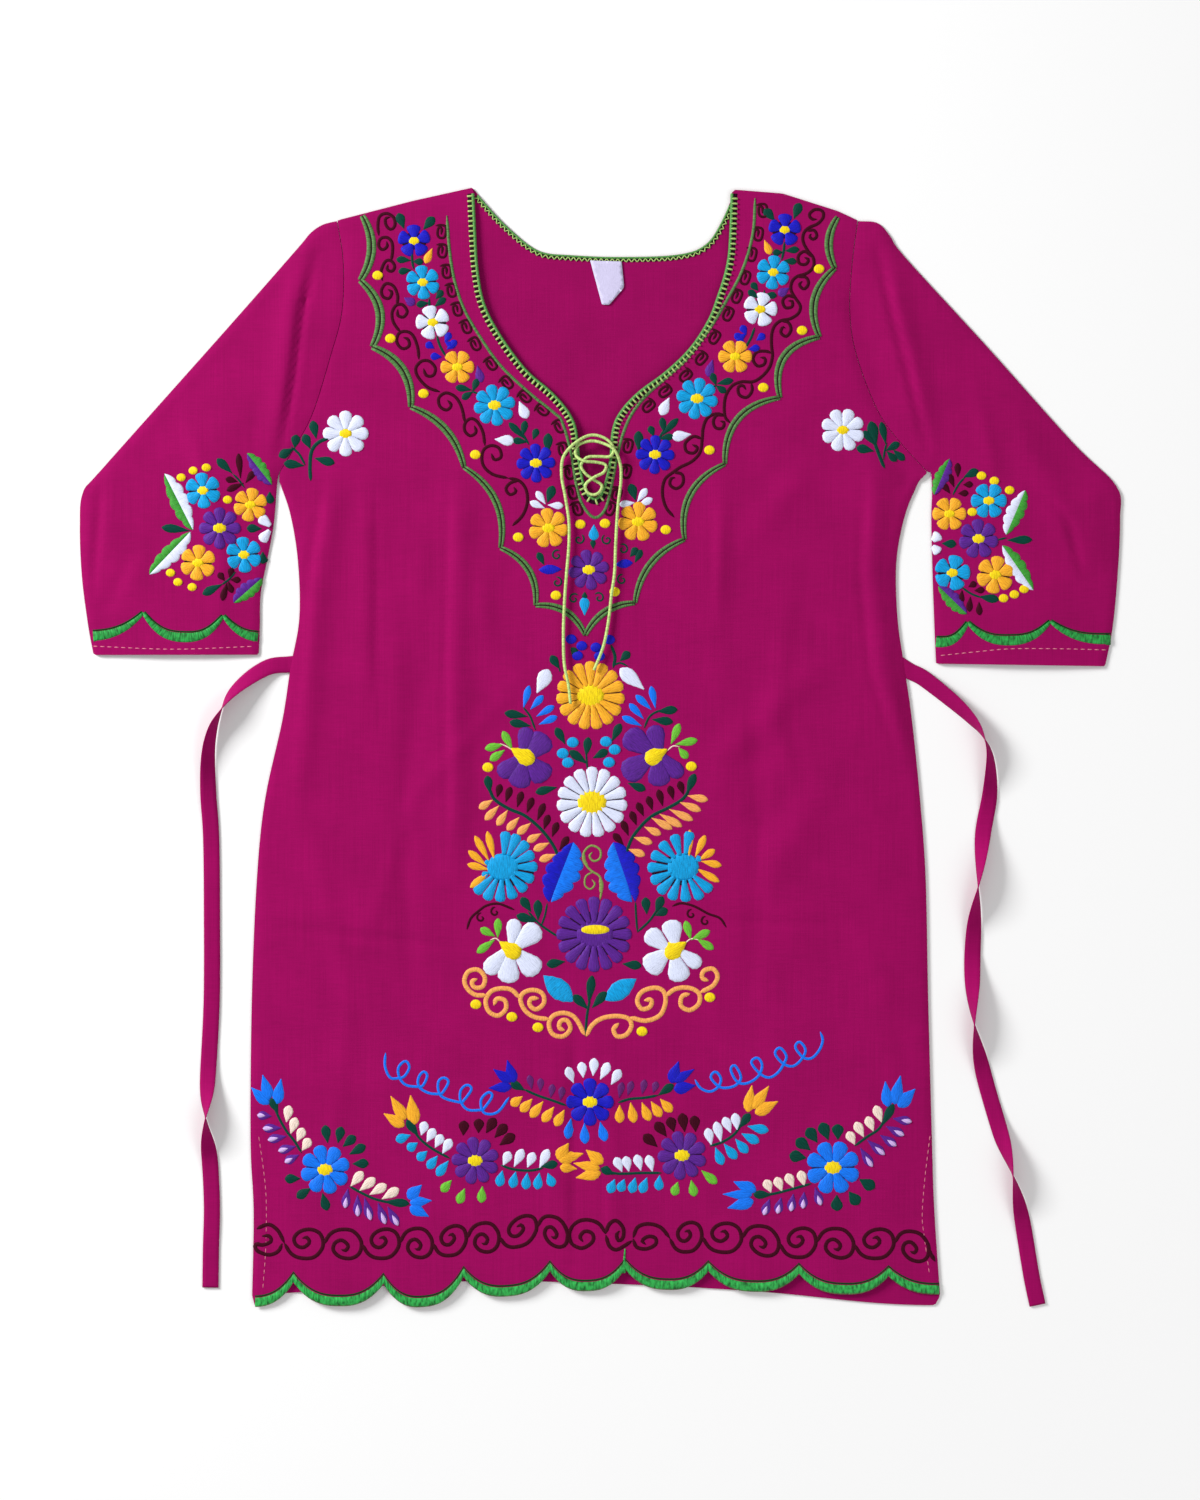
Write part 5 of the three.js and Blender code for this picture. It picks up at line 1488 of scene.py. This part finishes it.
def add_medallion_scrolls():
    for places in SCROLLS:
        stem("medallion", "apricot", places, 5.4, 0.6, steps=5)
    for places, width in (
        ([(600, 899.5), (602, 886), (599.5, 876), (591.5, 870.7), (585, 863), (583.6, 853),
          (591, 845.5), (600, 849.5), (600, 858), (593.5, 861), (589.5, 856), (592.5, 852)], 2.6),
        ([(593, 872), (586, 876), (585, 885), (590.5, 889), (595, 884), (592, 879.5)], 2.2),
        ([(600.5, 893), (601.5, 885), (600, 878)], 5.0),
        ([(583.8, 852), (584, 860), (588, 867)], 4.2),
    ):
        stem("medallion", "olive", places, width, steps=5)
    for places in (
        [(467, 929), (471, 918), (479, 910.5), (487.5, 905), (499, 903.6), (514.5, 909.5)],
        [(672, 906), (681, 903), (694, 906), (708, 913.5), (719.8, 918), (726, 927)],
    ):
        stem("medallion", "brown", places, 3.0, 0.45)
    for x, y in ((481.3, 917.5), (495.3, 911.7), (691.3, 914), (705.3, 921)):
        curl("medallion", "brown", x, y, 5, 90, turns=1.0, width=2.6)


def add_medallion():
    add_medallion_sprays()
    add_medallion_leaves()
    add_medallion_flowers()
    add_medallion_buds()
    add_medallion_scrolls()


add_medallion()

# ------------------------------------------------------------------ embroidery of shoulders, sleeves


def add_shoulders():
    region = "shoulder"
    flower(region, "white", 346, 434, 23, 8, turn=90, core=0.28)
    flower(region, "white", 842.5, 430.5, 22, 8, turn=70, core=0.28)
    for line, width in (
        ([(311, 481), (310.3, 467), (311.8, 452), (318.5, 443), (330, 438)], 4.6),
        ([(305.5, 465.5), (299.4, 454.4), (291.4, 447.1)], 3.0),
        ([(884.2, 468.5), (879, 456), (873.5, 441)], 4.4), ([(883, 460), (884.5, 451),
         (886.5, 443)], 2.6),
    ):
        stem(region, "green", line, width)
    drops(region, "green", 9.5, (316.5, 439, 313, 421), (310.5, 449, 304.3, 434.5),
          (295, 448.5, 296.8, 435), (294, 449, 279, 457), (304.5, 466, 284, 463.5),
          (315, 458.5, 335, 463.5), (873.5, 451.5, 856, 448))
    drops(region, "green", 11.5, (876, 445, 870.5, 421.5))
    drops(region, "green", 8, (875, 446, 863.5, 431), (885.5, 444.5, 881, 422),
          (885.5, 451, 899.5, 443), (893, 450, 904.5, 460.5), (886.5, 451.5, 896.5, 461.5))


def add_sleeve_flowers():
    for side, colour, x, y, radius, count, turn in (
        ("left", "turquoise", 203.5, 491, 18, 6, 95), ("left", "orange", 250.7, 505, 17, 6, 80),
        ("left", "purple", 220.3, 528.5, 21, 8, 90), ("left", "orange", 198.5, 563, 18, 6, 85),
        ("left", "turquoise", 244.3, 555, 18, 6, 95), ("right", "turquoise", 988.3, 501, 18, 6, 120),
        ("right", "orange", 949, 514, 17, 6, 120), ("right", "purple", 978, 539, 20, 7, 92),
        ("right", "turquoise", 952, 573, 18, 5, 75), ("right", "orange", 994.8, 575, 19, 6, 80),
    ):
        flower(f"sleeve_{side}", colour, x, y, radius, count, turn=turn)


def leaf_pair(region, left_colour, right_colour, base, tip, left_width, right_width):
    """A leaf in two colours, left and right of the way from its base to its tip."""
    half_leaf(region, left_colour, base, tip, left_width)
    half_leaf(region, right_colour, tip, base, right_width)


def add_left_sleeve():
    region = "sleeve_left"
    petals(region, "white", (270.5, 526, 260, 517, 13), (270, 530.5, 261, 541.5, 12.5))
    dots(region, "yellow", 4.6, (181.7, 477.8), (193.7, 471), (207, 468), (228, 500), (171, 573),
         (178.4, 582.3), (192.7, 587.3), (220, 528))
    leaf_pair(region, "leafgreen", "white", (193.5, 530.5), (165, 474), 10, 12)
    leaf_pair(region, "white", "leafgreen", (191, 532), (150, 574.7), 12, 9)
    leaf_pair(region, "purple", "leafgreen", (272, 485), (247.4, 453.6), 9, 9)
    leaf_pair(region, "leafgreen", "purple", (262.3, 578), (234, 603), 9, 10)
    drops(region, "green", 9, (190, 531, 162, 527.6), (262, 529, 247, 528.3),
          (232.5, 473.5, 217.5, 459), (222.5, 584.6, 203, 594.6), (270, 492, 270, 504),
          (263, 552, 263, 564))
    drops(region, "brown", 7, (240.8, 478.5, 239, 453.6), (246, 483, 255, 471), (244, 483.5, 227, 491),
          (238, 482, 226, 479), (227.5, 583, 222.5, 601), (229, 582, 232.5, 593), (225, 581, 219, 573),
          (230, 578, 232.5, 568), (231, 580, 241, 580))
    stem(region, "green", [(233, 474), (239, 480), (245, 488)], 2.6)
    stem(region, "green", [(222, 585), (229, 580), (236, 572)], 2.6)


def add_right_sleeve():
    region = "sleeve_right"
    petals(region, "white", (932.5, 541, 939.5, 534, 13), (932.5, 546, 939, 553, 12))
    dots(region, "yellow", 4.8, (971.8, 512.2), (981, 476), (993.7, 481.3), (1009, 490.5),
         (1003, 598.4), (1013.8, 594.6), (1023.5, 589.2))
    leaf_pair(region, "white", "leafgreen", (1005.6, 535), (1024.6, 490.5), 11, 10)
    leaf_pair(region, "leafgreen", "white", (1001.8, 545.8), (1032.7, 590.3), 10, 10)
    leaf_pair(region, "leafgreen", "purple", (934, 495), (949.3, 459), 8, 9)
    leaf_pair(region, "purple", "leafgreen", (938, 586), (966.6, 614), 9, 9)
    drops(region, "green", 9, (1006.7, 540.4, 1031.7, 540), (941.7, 543.6, 956, 544.2),
          (963.4, 477.5, 978, 470.5), (978.5, 596.8, 998.5, 600))
    drops(region, "brown", 7, (957.4, 477.5, 957.4, 463), (953.6, 487.3, 948.5, 473.4),
          (949.8, 493.8, 942, 483), (962.8, 485, 972.5, 484.6), (957.9, 493.8, 968, 493.2),
          (968, 587, 976, 583), (974, 591, 984, 590), (961.7, 590.3, 960.5, 603.5),
          (969.9, 596.8, 968.8, 612), (978.5, 602, 979, 615.5))
    for line in (
        [(952.5, 495), (958, 485), (964.4, 477.5)], [(961, 587), (970, 593.5), (981, 598)],
        [(996.4, 540.4), (1006, 538)],
    ):
        stem(region, "green", line, 2.6)


add_shoulders()
add_sleeve_flowers()
add_left_sleeve()
add_right_sleeve()

# ------------------------------------------------------------------ embroidery above the hem

HEM_FLOWERS = (  # colour, x, y, radius, petals, turn
    ("blue", 325.5, 1169, 25, 8, 105),
    ("blue", 832.7, 1167, 27.2, 8, 114),
    ("purple", 475.4, 1160, 24, 9, 97),
    ("purple", 682, 1154.8, 24.8, 9, 103),
    ("royal", 590, 1101.5, 24, 8, 90),
)
TULIPS = (  # colour, the cup, and pointed end x, y, round end x, y and width of each petal
    ("blue", (278.3, 1113, 271.3, 1098), (251.5, 1087.4, 269.3, 1104, 12),
     (263, 1074.6, 270, 1099, 12), (281.5, 1078.5, 277, 1104, 12)),
    ("blue", (384, 1201, 409.7, 1203), (422, 1184.5, 408, 1198, 13), (432, 1200, 410, 1202, 11),
     (429, 1216, 410, 1206, 12)),
    ("blue", (771.8, 1194.2, 753, 1194), (733.6, 1181, 756, 1190.6, 13),
     (722.7, 1193.6, 752, 1194.5, 10), (727.5, 1207.5, 753.6, 1200.2, 13)),
    ("blue", (881.2, 1125.7, 893.5, 1103.5), (885, 1081, 887.6, 1106.5, 12),
     (900.3, 1075.3, 894, 1104, 13), (915, 1088.7, 897.8, 1106.5, 14)),
    ("royal", (525, 1090, 511, 1082), (507.5, 1059.7, 514.2, 1082.7, 12),
     (493.6, 1068.8, 511.8, 1081.5, 11), (488.8, 1087.6, 511.8, 1086.3, 11)),
    ("royal", (658, 1094.8, 673.6, 1084), (678.5, 1061, 671.2, 1082.7, 13),
     (694.2, 1068.8, 673.6, 1081.5, 10), (695.4, 1085, 673.6, 1088.8, 13)),
    ("orange", (418.6, 1136, 407, 1119.3), (384.2, 1113, 404.6, 1125.7, 12),
     (391.2, 1095.7, 405.8, 1119.3, 12), (410.9, 1095, 414.8, 1124.4, 14)),
    ("orange", (540.9, 1166.3, 557.8, 1162.7), (568.7, 1142.7, 557.8, 1159, 13),
     (583.3, 1153, 559, 1160, 12), (577, 1168.5, 560, 1166.3, 10)),
    ("orange", (614.2, 1173.6, 600.9, 1167.5), (586.3, 1149.4, 603, 1163, 13),
     (573.6, 1162.7, 600, 1168, 11), (576, 1177.2, 601, 1172, 12)),
    ("orange", (739, 1127.5, 750, 1113), (751.8, 1085, 747.5, 1111.8, 12),
     (768.7, 1085.7, 752.4, 1108.2, 12), (777.8, 1101, 754.8, 1113, 13)),
)
HEM_STEMS = (  # places along each
    ((274, 1105), (279.5, 1118), (287, 1131), (295, 1141), (302, 1152.5)),
    ((349.7, 1185.6), (362.5, 1192.6), (375.2, 1198.4), (390.5, 1202.2)),
    ((410, 1119), (417.3, 1134.8), (430.6, 1147), (450, 1157.8)),
    ((500.9, 1164.5), (513, 1168.7), (530, 1170), (543.3, 1167.5)),
    ((524, 1088.8), (537.2, 1094.8), (551.8, 1099.7), (566.3, 1105)),
    ((617.9, 1102), (630, 1098.5), (644.5, 1097.3), (657.9, 1094.8)),
    ((600.9, 1167.5), (614.2, 1172.4), (626.3, 1173), (640.9, 1172.4), (661.5, 1172.4)),
    ((709.4, 1145.7), (722, 1141.5), (734.2, 1133.6), (742, 1122)),
    ((760, 1194.6), (772.8, 1193.3), (790.6, 1188.8), (811, 1183)),
    ((854.4, 1145.4), (867.2, 1136), (878.6, 1128.2), (887, 1114)),
)
HEM_DROPS = (  # colour, width, and x, y of each pointed and round end
    ("cream", 10, ((286.6, 1121.8, 289.8, 1105), (291, 1133.3, 296.5, 1117),
     (297.4, 1141, 304, 1127.5), (302.5, 1150, 310.5, 1138), (351, 1185.6, 363.5, 1171),
     (359.9, 1190, 375.7, 1177.5), (370, 1194, 387, 1184), (382.2, 1198.4, 399.3, 1188),
     (770.8, 1192, 765.3, 1179), (781.7, 1190.7, 776, 1176.5), (793.2, 1187, 786.8, 1173),
     (804, 1185.6, 800, 1170), (854.4, 1144.2, 847.8, 1131), (863.3, 1136.5, 855.2, 1121.5),
     (873, 1130.8, 866.8, 1116), (881.2, 1121.8, 875, 1105))),
    ("green", 10, ((328, 1142.3, 325.5, 1124.5), (338.2, 1142.3, 342, 1126),
     (343.3, 1146, 356, 1135.5), (349.7, 1153.7, 366, 1145), (352.9, 1163.3, 369, 1162.7),
     (300.6, 1178, 285, 1178.6), (311.4, 1187.5, 297, 1197.3), (322.9, 1192.6, 327.4, 1210))),
    ("green", 12.5, ((806, 1157.4, 789, 1154.7), (810, 1149.6, 796, 1138.5),
     (817, 1142, 807, 1127.5), (828, 1139.4, 821.2, 1122), (837.5, 1139, 837.5, 1123.5),
     (859, 1178.7, 874.5, 1187.5), (848.7, 1191, 858.5, 1204), (836.5, 1194.3, 836.5, 1210.5))),
    ("white", 9.8, ((421.5, 1134.8, 425.8, 1121), (427, 1141.5, 435, 1128),
     (435.4, 1147, 442.5, 1134), (442.7, 1153, 451.5, 1138.5), (503.3, 1165, 510, 1151),
     (514.2, 1166.3, 523.3, 1148.5), (527.5, 1167, 534.2, 1151.8), (539.6, 1167.5, 548.7, 1148.5),
     (573.6, 1082.7, 567.5, 1066.5), (583.3, 1077.3, 581.3, 1061.5), (593, 1075.4, 594.5, 1057.5),
     (600.3, 1079, 609, 1062), (611.2, 1084, 620.5, 1069), (622, 1171.2, 615.5, 1156.5),
     (628.8, 1171, 625.5, 1155.5), (640.9, 1170, 636.3, 1154), (652.4, 1171, 647.9, 1154.5),
     (711.2, 1144.5, 707.3, 1127.5), (720.9, 1141.5, 715.7, 1121), (730.6, 1132.4, 724, 1116.5),
     (737.2, 1130, 734.6, 1112.5))),
    ("turquoise", 10, ((410.9, 1134.6, 396, 1140), (418, 1142.3, 407.5, 1149.3),
     (427.6, 1150.6, 417.5, 1159.5), (437.9, 1155.4, 427.8, 1168), (448.8, 1160.3, 436.9, 1175.3),
     (502.7, 1170, 498.8, 1186), (516, 1171.2, 512, 1187.5), (527.5, 1172.4, 525.5, 1189),
     (539.6, 1172.4, 537, 1189), (548, 1172.4, 553.3, 1186), (614.8, 1178.4, 609, 1192.3),
     (624.5, 1178.4, 619.5, 1191), (635.4, 1177, 631, 1192.5), (647, 1177, 641, 1192.5),
     (659.7, 1174.8, 658.4, 1190), (715.4, 1147, 722.3, 1164.5), (723.9, 1143.3, 736.6, 1158.5),
     (735.4, 1138.5, 747.5, 1152.5), (741.5, 1133, 759, 1142), (747.5, 1125.7, 768.5, 1130.3))),
    ("blue", 10, ((571.2, 1118, 567.5, 1138.5), (584.5, 1122.7, 585, 1143.5),
     (600.3, 1121.5, 605, 1141))),
    ("brown", 11, ((463.3, 1134.8, 464.5, 1120), (478.5, 1132.4, 479.3, 1118),
     (486.3, 1132.4, 495.5, 1117.5), (494.8, 1137, 507, 1124), (499.7, 1144.5, 515, 1134),
     (657.2, 1146.3, 643.5, 1134), (666.3, 1136, 655.5, 1121.5), (673.6, 1131.2, 669.5, 1116.5),
     (684.5, 1131.2, 681.8, 1112.5), (695.4, 1131.2, 694.2, 1115))),
    ("lime", 9.5, ((451.8, 1179.7, 441.5, 1191), (465, 1188, 458.3, 1203),
     (482.7, 1185.7, 481.3, 1202.3), (677.8, 1181.5, 673.3, 1195), (691.2, 1179.7, 694.4, 1196),
     (701.5, 1170, 716.8, 1183))),
    ("plum", 7.5, ((531.8, 1088.8, 529.4, 1074.5), (540.3, 1091, 541, 1077.5),
     (550.6, 1097, 553, 1083.5), (560.2, 1099.7, 562.9, 1086), (619, 1097.3, 622.3, 1081.5),
     (627.6, 1094.8, 632.3, 1080.5), (642, 1093.6, 645, 1079), (653, 1092.4, 657, 1081))),
    ("orange", 10, ((522.7, 1096, 511, 1105), (532.4, 1098.5, 520.7, 1111.3),
     (543.3, 1100.9, 530.5, 1117), (554.2, 1106.3, 542.5, 1121.3), (564.5, 1109.4, 555.3, 1125.5),
     (619.7, 1104.5, 619.7, 1122.5), (630.6, 1102, 634, 1122.5), (642, 1102, 649.5, 1120.5),
     (651.2, 1101, 661, 1116.5), (660.3, 1098.5, 672, 1111.5))),
)
DIPPED_DROPS = (  # the same columns, for purple drops with a lilac outer half
    (271.9, 1116, 257.5, 1114.8), (281.5, 1127.6, 263, 1128.2), (286.6, 1136, 268, 1139.7),
    (296, 1146, 278.5, 1150.6), (299.3, 1154.4, 285, 1162), (348.4, 1188.2, 345.2, 1207.5),
    (358, 1194.6, 358, 1215.8), (365, 1197, 371, 1219.6), (378.4, 1202.2, 385.6, 1223.5),
    (388, 1206, 398.4, 1225), (769.6, 1198.4, 763.3, 1214.5), (781, 1197, 777, 1213),
    (793.2, 1193.3, 790.4, 1210.8), (804, 1191.4, 802.5, 1208), (814.9, 1187, 820.5, 1204.8),
    (860, 1147.4, 872, 1166.3), (867.2, 1139.7, 884.3, 1154.3), (879.9, 1134.6, 896, 1145.5),
    (885.7, 1125.7, 903.8, 1135), (892.7, 1118, 911.5, 1121.4),
)


def tulip(colour, cup, *petal_rows):
    """Three pointed petals and the green cup they grow from."""
    for ax, ay, bx, by, width in petal_rows:
        drops("hem_spray", colour, width, (ax, ay, bx, by))
    drops("hem_spray", "green", 9, cup)


def dipped_drops(region, width, *rows):
    """Drops of purple thread with a lilac outer half."""
    drops(region, "purple", width, *rows)
    for x0, y0, x1, y1 in rows:
        middle = (x0 + 0.4 * (x1 - x0), y0 + 0.4 * (y1 - y0))
        patch(region, "lilac", middle, (x1, y1), width * 0.66, drop_profile, 0.95)


def add_hem_sprays():
    for colour, x, y, radius, count, turn in HEM_FLOWERS:
        flower("hem_spray", colour, x, y, radius, count, turn=turn)
    for row in TULIPS:
        tulip(*row)
    for line in HEM_STEMS:
        stem("hem_spray", "green", line, 3.2)
    for colour, width, rows in HEM_DROPS:
        drops("hem_spray", colour, width, *rows)
    dipped_drops("hem_spray", 9.5, *DIPPED_DROPS)


LOOPED_LINES = (
    ((386, 1052.3), (385.4, 1065.7), (390.5, 1077.2), (398.2, 1077.8), (404.6, 1076), (409.7, 1067),
     (405.8, 1060.6), (398.8, 1067), (400, 1077.8), (407, 1084.9), (418.5, 1086.3), (423.3, 1085),
     (427.6, 1075.4), (424, 1071.2), (419, 1076.7), (419, 1086), (428.2, 1092.4), (439, 1093.6),
     (442.7, 1092.4), (448.8, 1081.5), (444, 1077.3), (438.5, 1081.5), (439.5, 1093),
     (446.4, 1098.5), (460.9, 1102), (463.3, 1100.9), (471.8, 1088.8), (467, 1084.5), (460.9, 1090),
     (461, 1101), (468.2, 1109.4), (481.5, 1109.4), (484, 1108.2), (492.4, 1096), (488.8, 1091.8),
     (481.5, 1098.5), (482, 1109), (487.5, 1113.6), (498.5, 1111.2), (509.4, 1096.6)),
    ((694.8, 1079), (700.3, 1087.6), (710, 1091.2), (718.4, 1086.3), (720.9, 1078), (715.4, 1071.2),
     (710.6, 1076.7), (717.2, 1085), (724.5, 1087.6), (735.4, 1085), (740.9, 1076.7), (734.8, 1065),
     (730.6, 1069.4), (737.2, 1081.5), (747.5, 1082.7), (758.4, 1075.4), (762, 1064.5),
     (757.2, 1057.3), (751.2, 1062), (759.6, 1073), (768.9, 1077.2), (777.9, 1072), (783.6, 1063.2),
     (786.2, 1055.5), (779.8, 1047.2), (774.7, 1053), (783, 1063.2), (793.2, 1065.7), (802, 1058),
     (805.3, 1049), (799.5, 1041.5), (795, 1046.6), (802.7, 1056.8), (811, 1058), (818.7, 1050.4),
     (822.5, 1040.2), (820, 1031.3)),
)
SCROLL_SHAPE = (  # one spiral of the band: shares of the way to the next join and of SCROLL_HEIGHT
    (0, 0), (0.17, 0.27), (0.42, 0.38), (0.76, 0.34), (0.98, 0.06), (0.93, -0.25), (0.7, -0.38),
    (0.42, -0.33), (0.25, -0.15), (0.3, 0.04), (0.48, 0.1), (0.64, -0.04), (0.57, -0.17),
    (0.46, -0.14),
)
SCROLL_HEIGHT = 38
SCROLL_JOINS = (  # x, y and whether the spiral from here runs over (1) or under (-1)
    (284.6, 1242.5, -1), (324, 1243.7, 1), (362.3, 1243, -1), (399.8, 1242.9, 1), (432.9, 1242, -1),
    (466.8, 1238.4, 1), (499.5, 1235.7, -1), (537.1, 1226.8, 1), (568, 1234, 0),
    (669.6, 1237.5, -1), (702, 1235.7, -1), (741.6, 1238, 1), (779, 1242, -1), (816, 1242, 1),
    (853.6, 1243, -1), (893.8, 1243, 1), (929, 1248.2, 0),
)
SCROLL_ODD_LINES = (  # at the left end, in the middle and at the right end
    ((257, 1228.6), (268.6, 1224), (278.4, 1230.4), (284.6, 1242.5)),
    ((282.5, 1242.9), (278.4, 1250.9), (268.6, 1254.5), (257, 1250), (256, 1244), (263.2, 1244.6),
     (271.3, 1241), (269.5, 1235.7), (262.2, 1235.7)),
    ((605.4, 1233), (599, 1223), (587, 1219), (576, 1222), (569.5, 1232), (572, 1243),
     (582, 1247.5), (592.5, 1241), (592.5, 1233), (585, 1230.5), (580, 1236), (583, 1241)),
    ((605.4, 1233), (609, 1223.5), (616, 1219.6), (623, 1226.8), (623, 1236.5), (618.5, 1240),
     (616.5, 1234), (619.5, 1230)),
    ((605.8, 1234), (609, 1244.6), (616, 1249), (625, 1244.6), (632, 1240)),
    ((633, 1237), (637.5, 1226.5), (648, 1223.2), (660.7, 1226.8), (669.6, 1237.5)),
    ((633, 1238), (636.6, 1246.4), (646.4, 1248.2), (655.4, 1243.7), (655.4, 1237.5),
     (648.2, 1235.7), (642, 1240), (645.5, 1243.7)),
    ((928, 1247), (931, 1255), (935, 1261)),
)


def add_hem_lines():
    """The looped blue lines over the sprays and the band of brown spirals under them."""
    for places in LOOPED_LINES:
        stem("hem_spray", "blue", places, 3.4, 0.45, steps=4, spacing=1.8)
    for (ax, ay, way), (bx, by, _) in zip(SCROLL_JOINS[:-1], SCROLL_JOINS[1:]):
        if way:
            width, drop_to_next, rise = bx - ax, by - ay, way * SCROLL_HEIGHT
            places = [(ax + u * width, ay + u * drop_to_next - v * rise) for u, v in SCROLL_SHAPE]
            stem("hem_band", "brown", places, 4.8, 0.45, steps=4, spacing=1.8)
    for places in SCROLL_ODD_LINES:
        stem("hem_band", "brown", places, 4.8, 0.45, steps=4, spacing=1.8)


add_hem_sprays()
add_hem_lines()

# ------------------------------------------------------------------ solids that stitches stand for


def both(name):
    return [f"{name}_left", f"{name}_right"]


def replaced_solids():
    """Region and colour of the stitches, and the solids in whose place they are shown."""
    solids = {
        ("trim", "crochet"): ["neck_trim_front"],
        ("back", "crochet"): ["neck_trim_back"],
        ("front", "hem"): ["hem_edging"],
        ("front", "yokegreen"): ["yoke_edging"],
        ("yoke_middle", "purple"): ["yoke_flower_centre"],
        ("medallion", "orange"): ["medallion_orange"],
        ("medallion", "purple"): both("medallion_purple") + ["medallion_purple"],
        ("medallion", "white"): ["medallion_white"] + both("medallion_blossom"),
        ("medallion", "turquoise"): both("medallion_fan"),
        ("medallion", "blue"): both("medallion_leaf"),
        ("shoulder", "white"): both("daisy"),
        ("hem_spray", "blue"): both("hem_flower"),
        ("hem_spray", "purple"): both("hem_flower_purple"),
        ("hem_spray", "royal"): ["hem_flower_centre"],
    }
    for side in ("left", "right"):
        solids[(f"sleeve_{side}", "border")] = [f"cuff_edging_{side}"]
        for colour in ("turquoise", "purple", "orange"):
            solids[(f"sleeve_{side}", colour)] = [f"sleeve_{side}_{colour}"]
        for number, row in enumerate(YOKE_PAIRS, 1):
            flowers = solids.setdefault((f"yoke_{side}", row[0]), [])
            flowers.append(f"yoke_flower_{side}_{number}")
    return solids


make_works(replaced_solids())

# ------------------------------------------------------------------ floor and light

FLOOR_REACH = 6.0  # metres from its middle to its edge
FLOOR_DROP = 0.0005  # metres under the dress, so that the two faces don't lie in one plane
FLOOR_COLOUR = (0.93, 0.93, 0.93, 1.0)
WHITE = (1.0, 1.0, 1.0, 1.0)
LIGHTS = (  # name, place and size in metres, power in watts
    ("key", (-3.0, 1.77, 1.7), 1.2, 193.0),
    ("fill", (1.9, -1.7, 2.2), 2.4, 34.0),
)
SKY_STRENGTH = 0.38


def add_floor():
    mesh = bpy.data.meshes.new("floor")
    corners = [(x * FLOOR_REACH, y * FLOOR_REACH, 0) for x, y in ((-1, -1), (1, -1), (1, 1), (-1, 1))]
    mesh.from_pydata(corners, [], [(0, 1, 2, 3)])
    material, _, shader = blank_material("floor_white", 0.9, specular=0.1)
    shader.inputs["Base Color"].default_value = FLOOR_COLOUR
    mesh.materials.append(material)
    floor = bpy.data.objects.new("floor", mesh)
    floor.location.z = -FLOOR_DROP
    bpy.context.scene.collection.objects.link(floor)


def add_area_light(name, place, size, power):
    """A square light that points at the frame's origin."""
    data = bpy.data.lights.new(name, "AREA")
    data.shape = "SQUARE"
    data.size = size
    data.energy = power
    light = bpy.data.objects.new(name, data)
    bpy.context.scene.collection.objects.link(light)
    light.location = place
    light.rotation_euler = (-Vector(place)).to_track_quat("-Z", "Y").to_euler()


def add_world(strength):
    world = bpy.data.worlds.new("studio")
    world.use_nodes = True
    background = world.node_tree.nodes["Background"]
    background.inputs["Color"].default_value = WHITE
    background.inputs["Strength"].default_value = strength
    bpy.context.scene.world = world


add_floor()
for light_row in LIGHTS:
    add_area_light(*light_row)
add_world(SKY_STRENGTH)
bpy.context.scene.view_settings.view_transform = "Standard"
